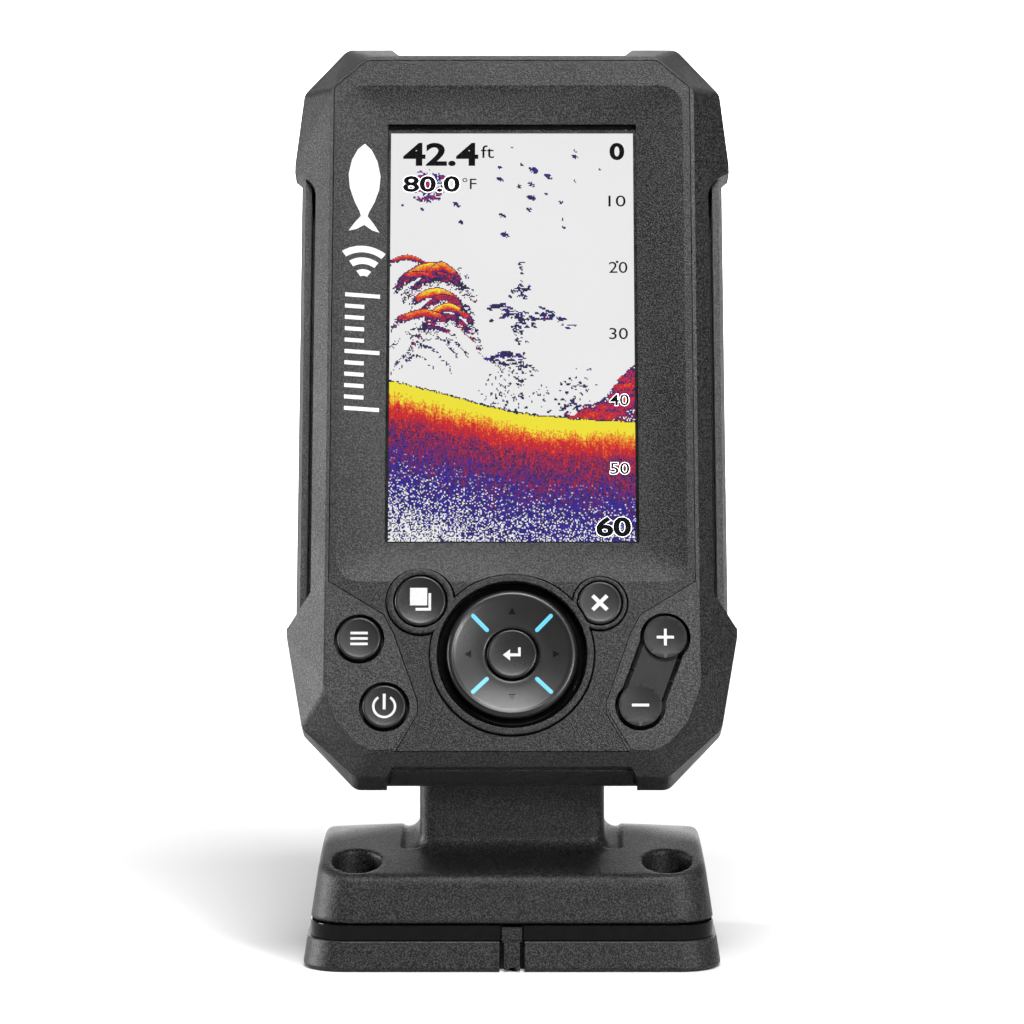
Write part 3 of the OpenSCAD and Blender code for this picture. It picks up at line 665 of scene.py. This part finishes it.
# each key: its middle, the radius of its cap and of its flange, the flange's depth and the symbol
key_drawings = {
    "pages": (pages_at, 5.5, 6.3, 3.2, [
        bar(-2.42, -1.09, 1.59, 3.1),
        [(1.9, 1.84), (1.9, -1.7), (-1.1, -1.7), (-1.1, -2.34), (2.5, -2.34), (2.5, 1.84)],
    ]),
    "menu": (menu_at, 4.65, 5.9, 2.7, [bar(-2.02, z - 0.3, 2.02, z + 0.3) for z in (-1.3, 0.0, 1.3)]),
    "power": (power_at, 4.65, 5.9, 2.7, power_pieces),
    "enter": (ring_at, 5.35, 6.05, 2.3, [
        [(-2.1, -0.22), (-0.45, 1.1), (-0.45, 0.12), (1.42, 0.12), (1.42, 1.55), (2.02, 1.55),
         (2.02, -0.56), (-0.45, -0.56), (-0.45, -1.55)],
    ]),
}
for key, (at, r, flange, flange_at, drawing) in key_drawings.items():
    cap = turned(key + "_key_cap", cap_profile(r, flange, flange_at), at, key_satin)
    settle(cap, key, "key_plastic", key + "_key")
    settle(key_symbol(key + "_symbol", drawing, at, print_size), key, "key_plastic")

# ---- Exit key -----------------------------------------------------------------------------------
# Its cap is cut away in an arc where the direction ring's surround passes, so the turned shape is
# pushed back to that arc.
exit_radius = 4.7
exit_flange = 5.4
exit_flange_at = 3.2
exit_clear = 17.85
exit_profile = cap_profile(exit_radius, exit_flange, exit_flange_at)
exit_cap = turned("exit_key_cap", exit_profile, exit_at, key_satin)
centre = Vector((ring_at[0], ring_at[1]))
to_drawing = head_place.inverted()
for vertex in exit_cap.data.vertices:
    drawn = to_drawing @ vertex.co
    away = Vector((drawn.x, drawn.z)) - centre
    if away.length < exit_clear:
        away = away.normalized() * exit_clear
        vertex.co = face(centre.x + away.x, centre.y + away.y, drawn.y)
settle(exit_cap, "exit", "key_plastic", "exit_key")
exit_symbol = key_symbol("exit_symbol", [cross(2.2, 0.42)], exit_at, 1.0, math.radians(45))
settle(exit_symbol, "exit", "key_plastic")

# ---- Direction ring -----------------------------------------------------------------------------
# A satin dish with a bevelled rim and a glossy skirt that fills the well round it. Four clear blue
# bars light it from below, and a small arrow is sunk into each quarter.
hollow_start = 6.6
hollow_width = 5.9
hollow_floor = -0.33
hollow_rise = 0.82


def ring_height(share):
    """Depth of the ring's hollow top, share being 0 at its inner edge and 1 at its outer one."""
    return hollow_floor - hollow_rise * share ** 1.4


ring_section = [
    (5.75, 1.6), (5.75, -0.1), (5.9, -0.26), (6.15, -0.32),
    *[(hollow_start + hollow_width * i / 10, ring_height(i / 10)) for i in range(11)],
    (12.62, -1.2), (12.75, -1.27), (13.1, -1.3), (13.5, -1.2), (13.85, -0.92), (14.05, -0.5),
    (14.1, -0.1), (14.1, 0.5), (14.25, 0.9), (14.9, 1.3), (15.75, 1.45), (15.75, 1.6),
]


def ring_top(x, z):
    r = math.hypot(x - ring_at[0], z - ring_at[1])
    return ring_height(max(r - hollow_start, 0) / hollow_width)


ring = turned("dpad_ring_cap", ring_section, ring_at, key_satin, 120)
ring.data.materials.append(polished_black)
skirt_inner = 14.0
skirt_front = -0.05
for polygon in ring.data.polygons:
    drawn = to_drawing @ polygon.center
    from_middle = math.hypot(drawn.x - ring_at[0], drawn.z - ring_at[1])
    if drawn.y > skirt_front and from_middle > skirt_inner:
        polygon.material_index = 1


def cut_out(piece, cutter):
    """Takes the cutter's shape out of the piece."""
    knife = piece.modifiers.new("cut_out", "BOOLEAN")
    knife.object = cutter
    knife.operation = "DIFFERENCE"
    knife.solver = "EXACT"
    graph = bpy.context.evaluated_depsgraph_get()
    result = bpy.data.meshes.new_from_object(piece.evaluated_get(graph))
    piece.modifiers.clear()
    piece.data = result
    bpy.data.objects.remove(cutter)


def stadium(half, near, far, steps=8):
    """A straight bar with round ends, lying outwards along z."""
    turns = [math.pi * i / steps for i in range(steps + 1)]
    top = [(half * math.cos(a), far + half * math.sin(a)) for a in turns]
    low = [(-half * math.cos(a), near - half * math.sin(a)) for a in turns]
    return top + low


def round_the_ring(outline, first):
    """The outline four times round the direction ring, the first turned by that many degrees."""
    return [shifted(outline, ring_at, math.radians(first + 90 * i)) for i in range(4)]


light_half = 0.42
light_clearance = 0.06
light_near = 7.6
light_far = 11.8
slots = plates(
    "light_slots", round_the_ring(stadium(light_half + light_clearance, light_near, light_far), 45),
    ring_top, key_satin, lift=1.0, sink=1.3,
)
cut_out(ring, slots)
arrow = [(-0.8, -0.62), (0.8, -0.62), (0, 0.85)]
arrow_out = 9.4
arrow_fit = 0.98
arrows = plates(
    "arrow_cuts", round_the_ring([(x, z + arrow_out) for x, z in arrow], 0),
    ring_top, key_satin, lift=0.5, sink=0.22,
)
cut_out(ring, arrows)
ring.data.shade_smooth()
ring.data.set_sharp_from_angle(angle=crease)
settle(ring, "dpad", "key_plastic", "dpad_ring")
print_black = finish_of(
    "print_black", (0.002, 0.002, 0.0022), (0.003, 0.003, 0.0033), 0.25, 400.0, 0.001, shine=0.2,
)
arrow_floor = plates(
    "dpad_arrow_floors",
    round_the_ring([(x * arrow_fit, z * arrow_fit + arrow_out) for x, z in arrow], 0),
    ring_top, print_black, lift=-0.16, sink=0.3,
)
settle(arrow_floor, "dpad", "key_plastic")


def lit_up(finish, colour, strength):
    """Makes a finish glow with a light of its own."""
    body = finish.node_tree.nodes["Principled BSDF"]
    body.inputs["Emission Color"].default_value = (*colour, 1)
    body.inputs["Emission Strength"].default_value = strength


lit_blue = finish_of("lit_blue", (0.02, 0.08, 0.11), (0.03, 0.1, 0.13), 0.25, 900.0, 0.004, coat=0.3)
lit_up(lit_blue, (0.16, 0.66, 0.87), 0.8)
lights = plates(
    "dpad_light_bars", round_the_ring(stadium(light_half, light_near, light_far), 45),
    ring_top, lit_blue, lift=0.05, sink=1.6,
)
settle(lights, "dpad", "light_pipe", "dpad_lights")

# ---- Zoom rocker --------------------------------------------------------------------------------
# Plus and minus caps stand on one smooth bar that rocks on a pin, in a long hole with round ends.
rocker = softened("zoom_rocker", "zoom_rocker_moulding", key_satin, 0.36, steps=3)
settle(rocker, "zoom", "key_plastic", "zoom_rocker")
for name, at, drawing in (
    ("plus_symbol", plus_at, [cross(2, 0.33)]),
    ("minus_symbol", minus_at, [bar(-2, -0.33, 2, 0.33)]),
):
    settle(key_symbol(name, drawing, at, print_size), "zoom", "key_plastic")

# ---- Display ------------------------------------------------------------------------------------
# The panel shows a sonar chart: open water with fish marks above a bright seabed. The chart is laid
# out on the panel's own cells, each a small square of one colour, and glows evenly.
lit_half_width = 26.93
lit_top = 47.4
lit_bottom = -46.6
chart_depth = 3.97
columns = 204
rows = 356
chart_brightness = 1.04
rng = np.random.default_rng(7)


def smooth_noise(step_x, step_z, seed):
    """Soft random field over the chart, from -1 to 1, with features step cells apart."""
    source = np.random.default_rng(seed)
    coarse = source.uniform(-1, 1, (rows // step_z + 3, columns // step_x + 3))
    rz = np.arange(rows) / step_z
    rx = np.arange(columns) / step_x
    iz, ix = rz.astype(int), rx.astype(int)
    fz, fx = (rz - iz)[:, None], (rx - ix)[None, :]
    fz, fx = fz * fz * (3 - 2 * fz), fx * fx * (3 - 2 * fx)
    a, b = coarse[iz][:, ix], coarse[iz][:, ix + 1]
    c, d = coarse[iz + 1][:, ix], coarse[iz + 1][:, ix + 1]
    return (a * (1 - fx) + b * fx) * (1 - fz) + (c * (1 - fx) + d * fx) * fz


inks = {
    "water": (0.863, 0.863, 0.866), "black": (0.007, 0.005, 0.045), "navy": (0.012, 0.004, 0.15),
    "blue": (0.013, 0.003, 0.34), "violet": (0.07, 0.004, 0.2), "plum": (0.165, 0.003, 0.11),
    "maroon": (0.33, 0.003, 0.05), "red": (0.63, 0.006, 0.009), "orange": (0.78, 0.1, 0.006),
    "amber": (0.84, 0.35, 0.011), "yellow": (0.9, 0.79, 0.025), "haze": (0.31, 0.29, 0.46),
}
ink_names = list(inks)
ink = {name: i for i, name in enumerate(ink_names)}
chart = np.full((rows, columns), ink["water"])
across = (np.arange(columns)[None, :] + 0.5) / columns
down = (np.arange(rows)[:, None] + 0.5) / rows
ragged = rng.uniform(-1, 1, (rows, columns))
drift = smooth_noise(9, 5, 1)
ripple = smooth_noise(3, 3, 2)
streaks = 0.6 * ragged + 0.5 * smooth_noise(1, 4, 5) + 0.25 * smooth_noise(2, 9, 6)


def echo_mark(strength, lines):
    """Inks the cells whose echo passes each level, in the colour order of the chart."""
    global chart
    for level, name in lines:
        chart = np.where(strength > level, ink[name], chart)


# the seabed: a strong echo at the bottom line that fades and breaks up with depth
bottom_line = np.interp(
    across,
    [0, 0.06, 0.13, 0.25, 0.37, 0.5, 0.63, 0.8, 1],
    [0.612, 0.619, 0.629, 0.648, 0.668, 0.688, 0.698, 0.706, 0.711],
)
under = down - bottom_line + 0.002 * ripple
fade = np.interp(
    under,
    [0, 0.018, 0.035, 0.05, 0.07, 0.1, 0.15, 0.2, 0.26, 0.33, 0.4],
    [1.02, 0.97, 0.9, 0.82, 0.68, 0.56, 0.46, 0.35, 0.24, 0.13, 0.04],
)
break_up = np.interp(under, [0, 0.02, 0.05, 0.1, 0.15, 0.3], [0.03, 0.07, 0.1, 0.15, 0.19, 0.2])
bed = (under > 0) * (fade + break_up * streaks + 0.03 * drift)
echo_mark(bed, (
    (0.0005, "water"), (0.03, "haze"), (0.1, "navy"), (0.2, "blue"), (0.33, "violet"), (0.43, "plum"),
    (0.52, "maroon"), (0.61, "red"), (0.74, "orange"), (0.82, "amber"), (0.89, "yellow"),
))
# cells that drop out: black ones all through it, pale ones more and more often with depth
shade = rng.uniform(0, 1, (rows, columns))
haze_share = 0.55 * np.clip((under - 0.15) / 0.3, 0, 1)
water_share = np.clip((under - 0.18) / 0.3, 0, 1) ** 1.3
echo_mark((under > 0.09) * (shade > 0.84), ((0.5, "black"),))
echo_mark((under > 0.16) * (shade < haze_share), ((0.5, "haze"),))
echo_mark((under > 0.18) * (shade < water_share), ((0.5, "water"),))
echo_mark((np.abs(under) < 0.0022) * (ragged + 1.6), ((1.0, "black"),))

# fish arches, stacked in a shoal at the left
hot = (
    (0.1, "black"), (0.24, "navy"), (0.34, "plum"), (0.42, "maroon"), (0.5, "red"), (0.66, "orange"),
    (0.8, "amber"), (0.94, "yellow"),
)
strokes = smooth_noise(4, 2, 9)


def arch(centre_x, top, half_width, thick, bend, power, rag):
    """A fish arch: a band that bends down to both sides, crisp above and torn into strokes below."""
    offset = (across - centre_x) / half_width
    line = top + bend * np.abs(offset) ** 1.9 + 0.003 * smooth_noise(7, 40, int(1000 * top))
    depth_in = (down - line) / thick
    body = np.clip(depth_in / 0.16, 0, 1) * np.clip(1 - depth_in, 0, 1) ** 0.6
    ends = np.clip(1.02 - np.abs(offset) ** 2.6, 0, 1)
    torn = rag * (0.55 * strokes + 0.45 * ragged) * np.clip(depth_in + np.abs(offset), 0, 1.3)
    within = (depth_in > 0) * (depth_in < 1) * (np.abs(offset) < 1.05)
    return within * (power * body * ends + torn)


for place, top, half, thick, bend, power, rag in (
    (0.20, 0.348, 0.15, 0.030, 0.048, 0.50, 0.50), (0.23, 0.444, 0.14, 0.030, 0.075, 0.42, 0.55),
    (0.07, 0.303, 0.10, 0.016, 0.026, 0.85, 0.30), (0.16, 0.318, 0.15, 0.036, 0.060, 1.10, 0.30),
    (0.21, 0.320, 0.09, 0.028, 0.046, 1.05, 0.25), (0.12, 0.340, 0.09, 0.018, 0.024, 0.80, 0.40),
    (0.19, 0.352, 0.08, 0.016, 0.020, 0.55, 0.50), (0.19, 0.384, 0.11, 0.026, 0.034, 1.20, 0.30),
    (0.22, 0.398, 0.11, 0.024, 0.050, 0.60, 0.45), (0.24, 0.420, 0.11, 0.024, 0.046, 1.15, 0.30),
    (0.13, 0.434, 0.12, 0.024, 0.034, 0.95, 0.35), (0.18, 0.476, 0.09, 0.012, 0.022, 0.45, 0.40),
):
    echo_mark(arch(place, top, half, thick, bend, power, rag), hot)
faint = ((0.2, "black"), (0.36, "navy"), (0.62, "plum"))
for place, top, half, thick, bend, power in (
    (0.29, 0.330, 0.05, 0.020, 0.060, 0.30), (0.31, 0.420, 0.05, 0.022, 0.060, 0.30),
    (0.33, 0.470, 0.05, 0.016, 0.060, 0.22), (0.13, 0.478, 0.14, 0.014, 0.060, 0.24),
    (0.20, 0.500, 0.13, 0.012, 0.050, 0.20), (0.13, 0.520, 0.12, 0.014, 0.060, 0.26),
    (0.11, 0.548, 0.07, 0.012, 0.030, 0.24),
):
    echo_mark(arch(place, top, half, thick, bend, power, 0.75), faint)

# a sunken tree: short dashes that gather on a few levels about one stem
scatter = np.random.default_rng(21)
dash = ((0.42, "black"), (0.66, "navy"), (1.0, "blue"), (1.2, "maroon"))


def flecks(count, centre_x, spread_x, centre_z, spread_z, size, power):
    """Short slanting dashes scattered about one place in the water."""
    for _ in range(count):
        x = scatter.normal(centre_x, spread_x)
        z = scatter.normal(centre_z, spread_z) + 0.22 * abs(x - centre_x)
        wide = scatter.uniform(0.4, 1.3) * size
        high = scatter.uniform(0.0022, 0.0046)
        lean = scatter.uniform(-0.12, 0.22)
        mark = 1 - np.hypot((across - x) / wide, (down - z - lean * (across - x)) / high)
        strength = power * scatter.uniform(0.7, 1.1)
        echo_mark((mark > 0) * (under < 0) * strength * (0.5 + 0.6 * mark + 0.35 * ragged), dash)


for count, x, sx, z, sz, size, power in (
    (10, 0.54, 0.004, 0.352, 0.018, 0.007, 0.8), (20, 0.535, 0.024, 0.387, 0.011, 0.013, 0.95),
    (16, 0.45, 0.020, 0.428, 0.004, 0.019, 1.0), (15, 0.50, 0.040, 0.446, 0.007, 0.016, 1.05),
    (26, 0.64, 0.045, 0.448, 0.009, 0.018, 1.05), (18, 0.53, 0.030, 0.468, 0.012, 0.013, 0.85),
    (24, 0.53, 0.016, 0.505, 0.024, 0.008, 0.75), (28, 0.48, 0.042, 0.545, 0.004, 0.018, 1.1),
    (22, 0.50, 0.050, 0.560, 0.009, 0.014, 0.8), (18, 0.54, 0.030, 0.590, 0.014, 0.012, 0.7),
    (70, 0.47, 0.055, 0.620, 0.034, 0.006, 0.7), (60, 0.60, 0.100, 0.645, 0.024, 0.006, 0.7),
    (26, 0.77, 0.040, 0.615, 0.022, 0.010, 0.75), (20, 0.74, 0.030, 0.675, 0.012, 0.013, 0.9),
):
    flecks(count, x, sx, z, sz, size, power)

# loose fish marks near the surface, and one stronger school at the left
for x, z, size in (
    (0.05, 0.18, 0.010), (0.13, 0.19, 0.012), (0.27, 0.178, 0.024), (0.29, 0.222, 0.016),
    (0.45, 0.115, 0.022), (0.45, 0.085, 0.014), (0.46, 0.205, 0.022), (0.47, 0.252, 0.026),
    (0.53, 0.133, 0.016), (0.59, 0.092, 0.030), (0.54, 0.078, 0.014), (0.65, 0.108, 0.024),
    (0.58, 0.128, 0.022), (0.58, 0.160, 0.030), (0.57, 0.190, 0.018), (0.64, 0.150, 0.010),
    (0.70, 0.172, 0.018), (0.715, 0.235, 0.014), (0.76, 0.058, 0.018), (0.76, 0.045, 0.012),
    (0.76, 0.120, 0.008), (0.50, 0.036, 0.008), (0.86, 0.090, 0.008), (0.93, 0.32, 0.007),
    (0.71, 0.215, 0.008),
):
    drop = down - z - 0.2 * (across - x)
    mark = 1 - np.hypot((across - x) / (0.7 * size), drop / (0.2 * size + 0.0018))
    echo_mark((mark > 0) * (0.42 + 0.6 * mark + 0.4 * ragged), dash)
school = 1 - np.hypot((across - 0.155) / 0.085, (down - 0.132) / 0.042)
echo_mark(
    (school > 0) * (0.2 + 0.7 * school + 0.7 * strokes + 0.3 * ragged),
    ((0.42, "black"), (0.52, "navy"), (0.66, "blue"), (0.84, "maroon"), (1.0, "red"), (1.25, "orange")),
)

# the mound that rises at the right-hand edge
rise = np.clip((across - 0.72) / 0.28, 0, 1)
mound_top = 0.692 - 0.122 * rise ** 1.7 + 0.01 * smooth_noise(9, 40, 12)
deep_in = (down - mound_top) / 0.1
in_mound = (deep_in > 0) * (under < -0.001) * (across > 0.71)
heart = np.clip(4 * deep_in * (1 - deep_in), 0, 1)
echo_mark(
    in_mound * (0.34 + 0.42 * heart + 0.34 * smooth_noise(8, 3, 14) + 0.26 * ragged),
    ((0.16, "black"), (0.26, "navy"), (0.4, "violet"), (0.5, "maroon"), (0.62, "red"), (0.98, "orange")),
)

panel_mesh = bpy.data.meshes.new("sonar_chart")
side_x = np.linspace(-lit_half_width, lit_half_width, columns + 1)
side_z = np.linspace(lit_top, lit_bottom, rows + 1)
place = np.array(head_place)
points = np.stack(
    np.broadcast_arrays(side_x[None, :], np.float64(chart_depth), side_z[:, None], 1.0), -1,
).reshape(-1, 4)
cell = (np.arange(rows)[:, None] * (columns + 1) + np.arange(columns)[None, :]).reshape(-1)
cells = np.stack([cell, cell + columns + 1, cell + columns + 2, cell + 1], -1)
panel_mesh.from_pydata((points @ place.T)[:, :3].tolist(), [], cells.tolist())
colour = panel_mesh.color_attributes.new("chart", "FLOAT_COLOR", "CORNER")
palette = np.array([(*inks[n], 1.0) for n in ink_names])
cell_inks = np.repeat(palette[chart.reshape(-1)], 4, axis=0)
colour.data.foreach_set("color", cell_inks.astype(np.float32).ravel())

glow = bpy.data.materials.new("panel_glow")
glow.use_nodes = True
tree = glow.node_tree
panel_skin = tree.nodes["Principled BSDF"]
panel_skin.inputs["Base Color"].default_value = (0.01, 0.01, 0.01, 1)
panel_skin.inputs["Roughness"].default_value = 0.6
panel_skin.inputs["Specular IOR Level"].default_value = 0.0
chart_ink = tree.nodes.new("ShaderNodeAttribute")
chart_ink.attribute_name = "chart"
place_in = tree.nodes.new("ShaderNodeTexCoord")
glow_unevenness = spread(tree, noise(tree, place_in, 22.0, 2.0), 0.3, 0.7, 0.97, 1.0)
lit = tree.nodes.new("ShaderNodeMix")
lit.data_type = "RGBA"
lit.blend_type = "MULTIPLY"
lit.inputs[0].default_value = 1.0
tree.links.new(chart_ink.outputs["Color"], lit.inputs[6])
tree.links.new(glow_unevenness, lit.inputs[7])
tree.links.new(lit.outputs[2], panel_skin.inputs["Emission Color"])
panel_skin.inputs["Emission Strength"].default_value = chart_brightness
panel_mesh.materials.append(glow)
settle(placed("sonar_chart", panel_mesh), "head", "display")
panel_back = finish_of("panel_back", (0.02, 0.02, 0.022), (0.03, 0.03, 0.032), 0.3, 500.0, 0.004)
dressed("lcd_panel", panel_back)

# ---- Figures on the display ---------------------------------------------------------------------
# Depth, water temperature and the depth scale, in the display's plain sans letters. Those over the
# seabed have a pale outline.
figure_black = finish_of(
    "figure_black", (0.002, 0.002, 0.002), (0.004, 0.004, 0.004), 0.9, 500.0, 0.001, shine=0.0,
)
figure_pale = finish_of("figure_pale", (0.8, 0.8, 0.82), (0.84, 0.84, 0.86), 0.7, 500.0, 0.001)
lit_up(figure_pale, (0.82, 0.82, 0.86), 0.55)
cap_share = 0.73
figure_depth = 3.945
outline_depth = 3.956
outline_width = 0.16


def figures(name, words, left, right, base, high, weight, finish, depth):
    """Letters drawn flat on the display, fitted between left and right with capitals high mm tall."""
    letters = bpy.data.curves.new(name, "FONT")
    letters.body = words
    letters.size = high / cap_share
    letters.offset = weight
    letters.resolution_u = 4
    typed = placed(name + "_typed", letters)
    bpy.context.view_layer.update()
    mesh = bpy.data.meshes.new_from_object(typed.evaluated_get(bpy.context.evaluated_depsgraph_get()))
    bpy.data.objects.remove(typed)
    xs = [v.co.x for v in mesh.vertices]
    zs = [v.co.y for v in mesh.vertices]
    typed_left, typed_width = min(xs), max(xs) - min(xs)
    typed_base, typed_height = min(zs), max(zs) - min(zs)
    squeeze = (right - left) / typed_width
    for v in mesh.vertices:
        tall = (v.co.y - typed_base) / typed_height
        v.co = face(left + (v.co.x - typed_left) * squeeze, base + tall * high, depth)
    mesh.materials.clear()
    mesh.materials.append(finish)
    return settle(placed(name, mesh), "head", "display")


# each figure: its letters, left and right edges, top, height, weight, and whether it is outlined
for name, words, left, right, top, high, weight, outlined in (
    ("depth_figure", "42.4", -24.2, -7.5, 45.2, 5.5, 0.2, False),
    ("depth_unit", "ft", -6.9, -4.0, 44.6, 3.0, 0.0, False),
    ("water_figure", "80.0", -24.2, -11.6, 37.4, 3.8, 0.14, True),
    ("water_unit", "°F", -11.0, -7.9, 36.9, 2.6, 0.0, False),
    ("scale_0", "0", 21.7, 25.0, 45.2, 4.1, 0.2, False),
    ("scale_10", "10", 21.4, 25.2, 32.8, 2.6, 0.0, False),
    ("scale_20", "20", 21.4, 25.5, 17.3, 2.6, 0.0, False),
    ("scale_30", "30", 21.4, 25.5, 2.0, 2.6, 0.0, False),
    ("scale_40", "40", 21.4, 25.6, -13.2, 2.6, 0.03, True),
    ("scale_50", "50", 21.4, 25.6, -28.8, 2.6, 0.03, True),
    ("scale_60", "60", 18.3, 25.9, -41.0, 4.5, 0.22, True),
):
    base = top - high
    if outlined:
        figures(name + "_edge", words, left - outline_width, right + outline_width, base - outline_width,
                high + 2 * outline_width, weight + outline_width, figure_pale, outline_depth)
    figures(name, words, left, right, base, high, weight, figure_black, figure_depth)

# ---- Window -------------------------------------------------------------------------------------
# Clear hard-coated cover, printed black on its back round the lit area.
mask_half_width = 29.6
mask_top = 51.1
mask_bottom = -49.3
mask_depth = 3.93
mask_strips = [
    bar(-mask_half_width, lit_top, mask_half_width, mask_top),
    bar(-mask_half_width, mask_bottom, mask_half_width, lit_bottom),
    bar(-mask_half_width, lit_bottom, -lit_half_width, lit_top),
    bar(lit_half_width, lit_bottom, mask_half_width, lit_top),
]
mask = plates(
    "window_print", mask_strips, lambda x, z: mask_depth, print_black, lift=0.01, sink=0.01,
)
settle(mask, "head", "gloss_black")
clear = bpy.data.materials.new("clear_cover")
clear.use_nodes = True
tree = clear.node_tree
clear_skin = tree.nodes["Principled BSDF"]
clear_skin.inputs["Base Color"].default_value = (0.01, 0.011, 0.012, 1)
clear_skin.inputs["Alpha"].default_value = 0.05
place = tree.nodes.new("ShaderNodeTexCoord")
wiped = spread(tree, noise(tree, place, 60.0, 4.0), 0.3, 0.7, 0.03, 0.09)
tree.links.new(wiped, clear_skin.inputs["Roughness"])
dressed("window_lens", clear)

# ---- Printed pictogram --------------------------------------------------------------------------
# A plain fish, three sonar rings and a depth rule, printed in white down the left slope of the
# recess.
slope_outer = 37.9
slope_inner = 27.55
slope_depth = 2.5


def slope(x, z):
    """Depth of the sloping side of the recess at x."""
    return slope_depth * (slope_outer - abs(x)) / (slope_outer - slope_inner)


band_x = -32.65
fish_at = (band_x, 33.0)
fish_side = [(0, 11.0), (1.5, 9.6), (2.8, 7.0), (3.5, 3.6), (3.2, 0.4), (2.2, -2.6), (1.0, -5.0),
             (0.75, -6.0), (1.9, -7.4), (3.4, -9.6), (1.7, -9.1), (0, -8.0)]
fish = fish_side + [(-x, z) for x, z in reversed(fish_side[1:-1])]
rings_at = (band_x, 12.0)
ring_bands = [arc_band(r, r + 1.5, -36, 36, 20) for r in (1.2, 3.9, 6.6)]
rule_at = (band_x, 8.6)
tick_pitch = 2.6
rule_ticks = [
    bar(-4.0, -i * tick_pitch - 0.45, 3.6 if i % 5 == 0 else 0.2, -i * tick_pitch + 0.45)
    for i in range(11)
]
pictogram = plates(
    "recess_pictogram",
    [shifted(fish, fish_at)]
    + [shifted(b, rings_at) for b in ring_bands]
    + [shifted(t, rule_at) for t in rule_ticks],
    slope, symbol_white, lift=0.02, sink=0.02,
)
settle(pictogram, "head", "fascia_plastic")
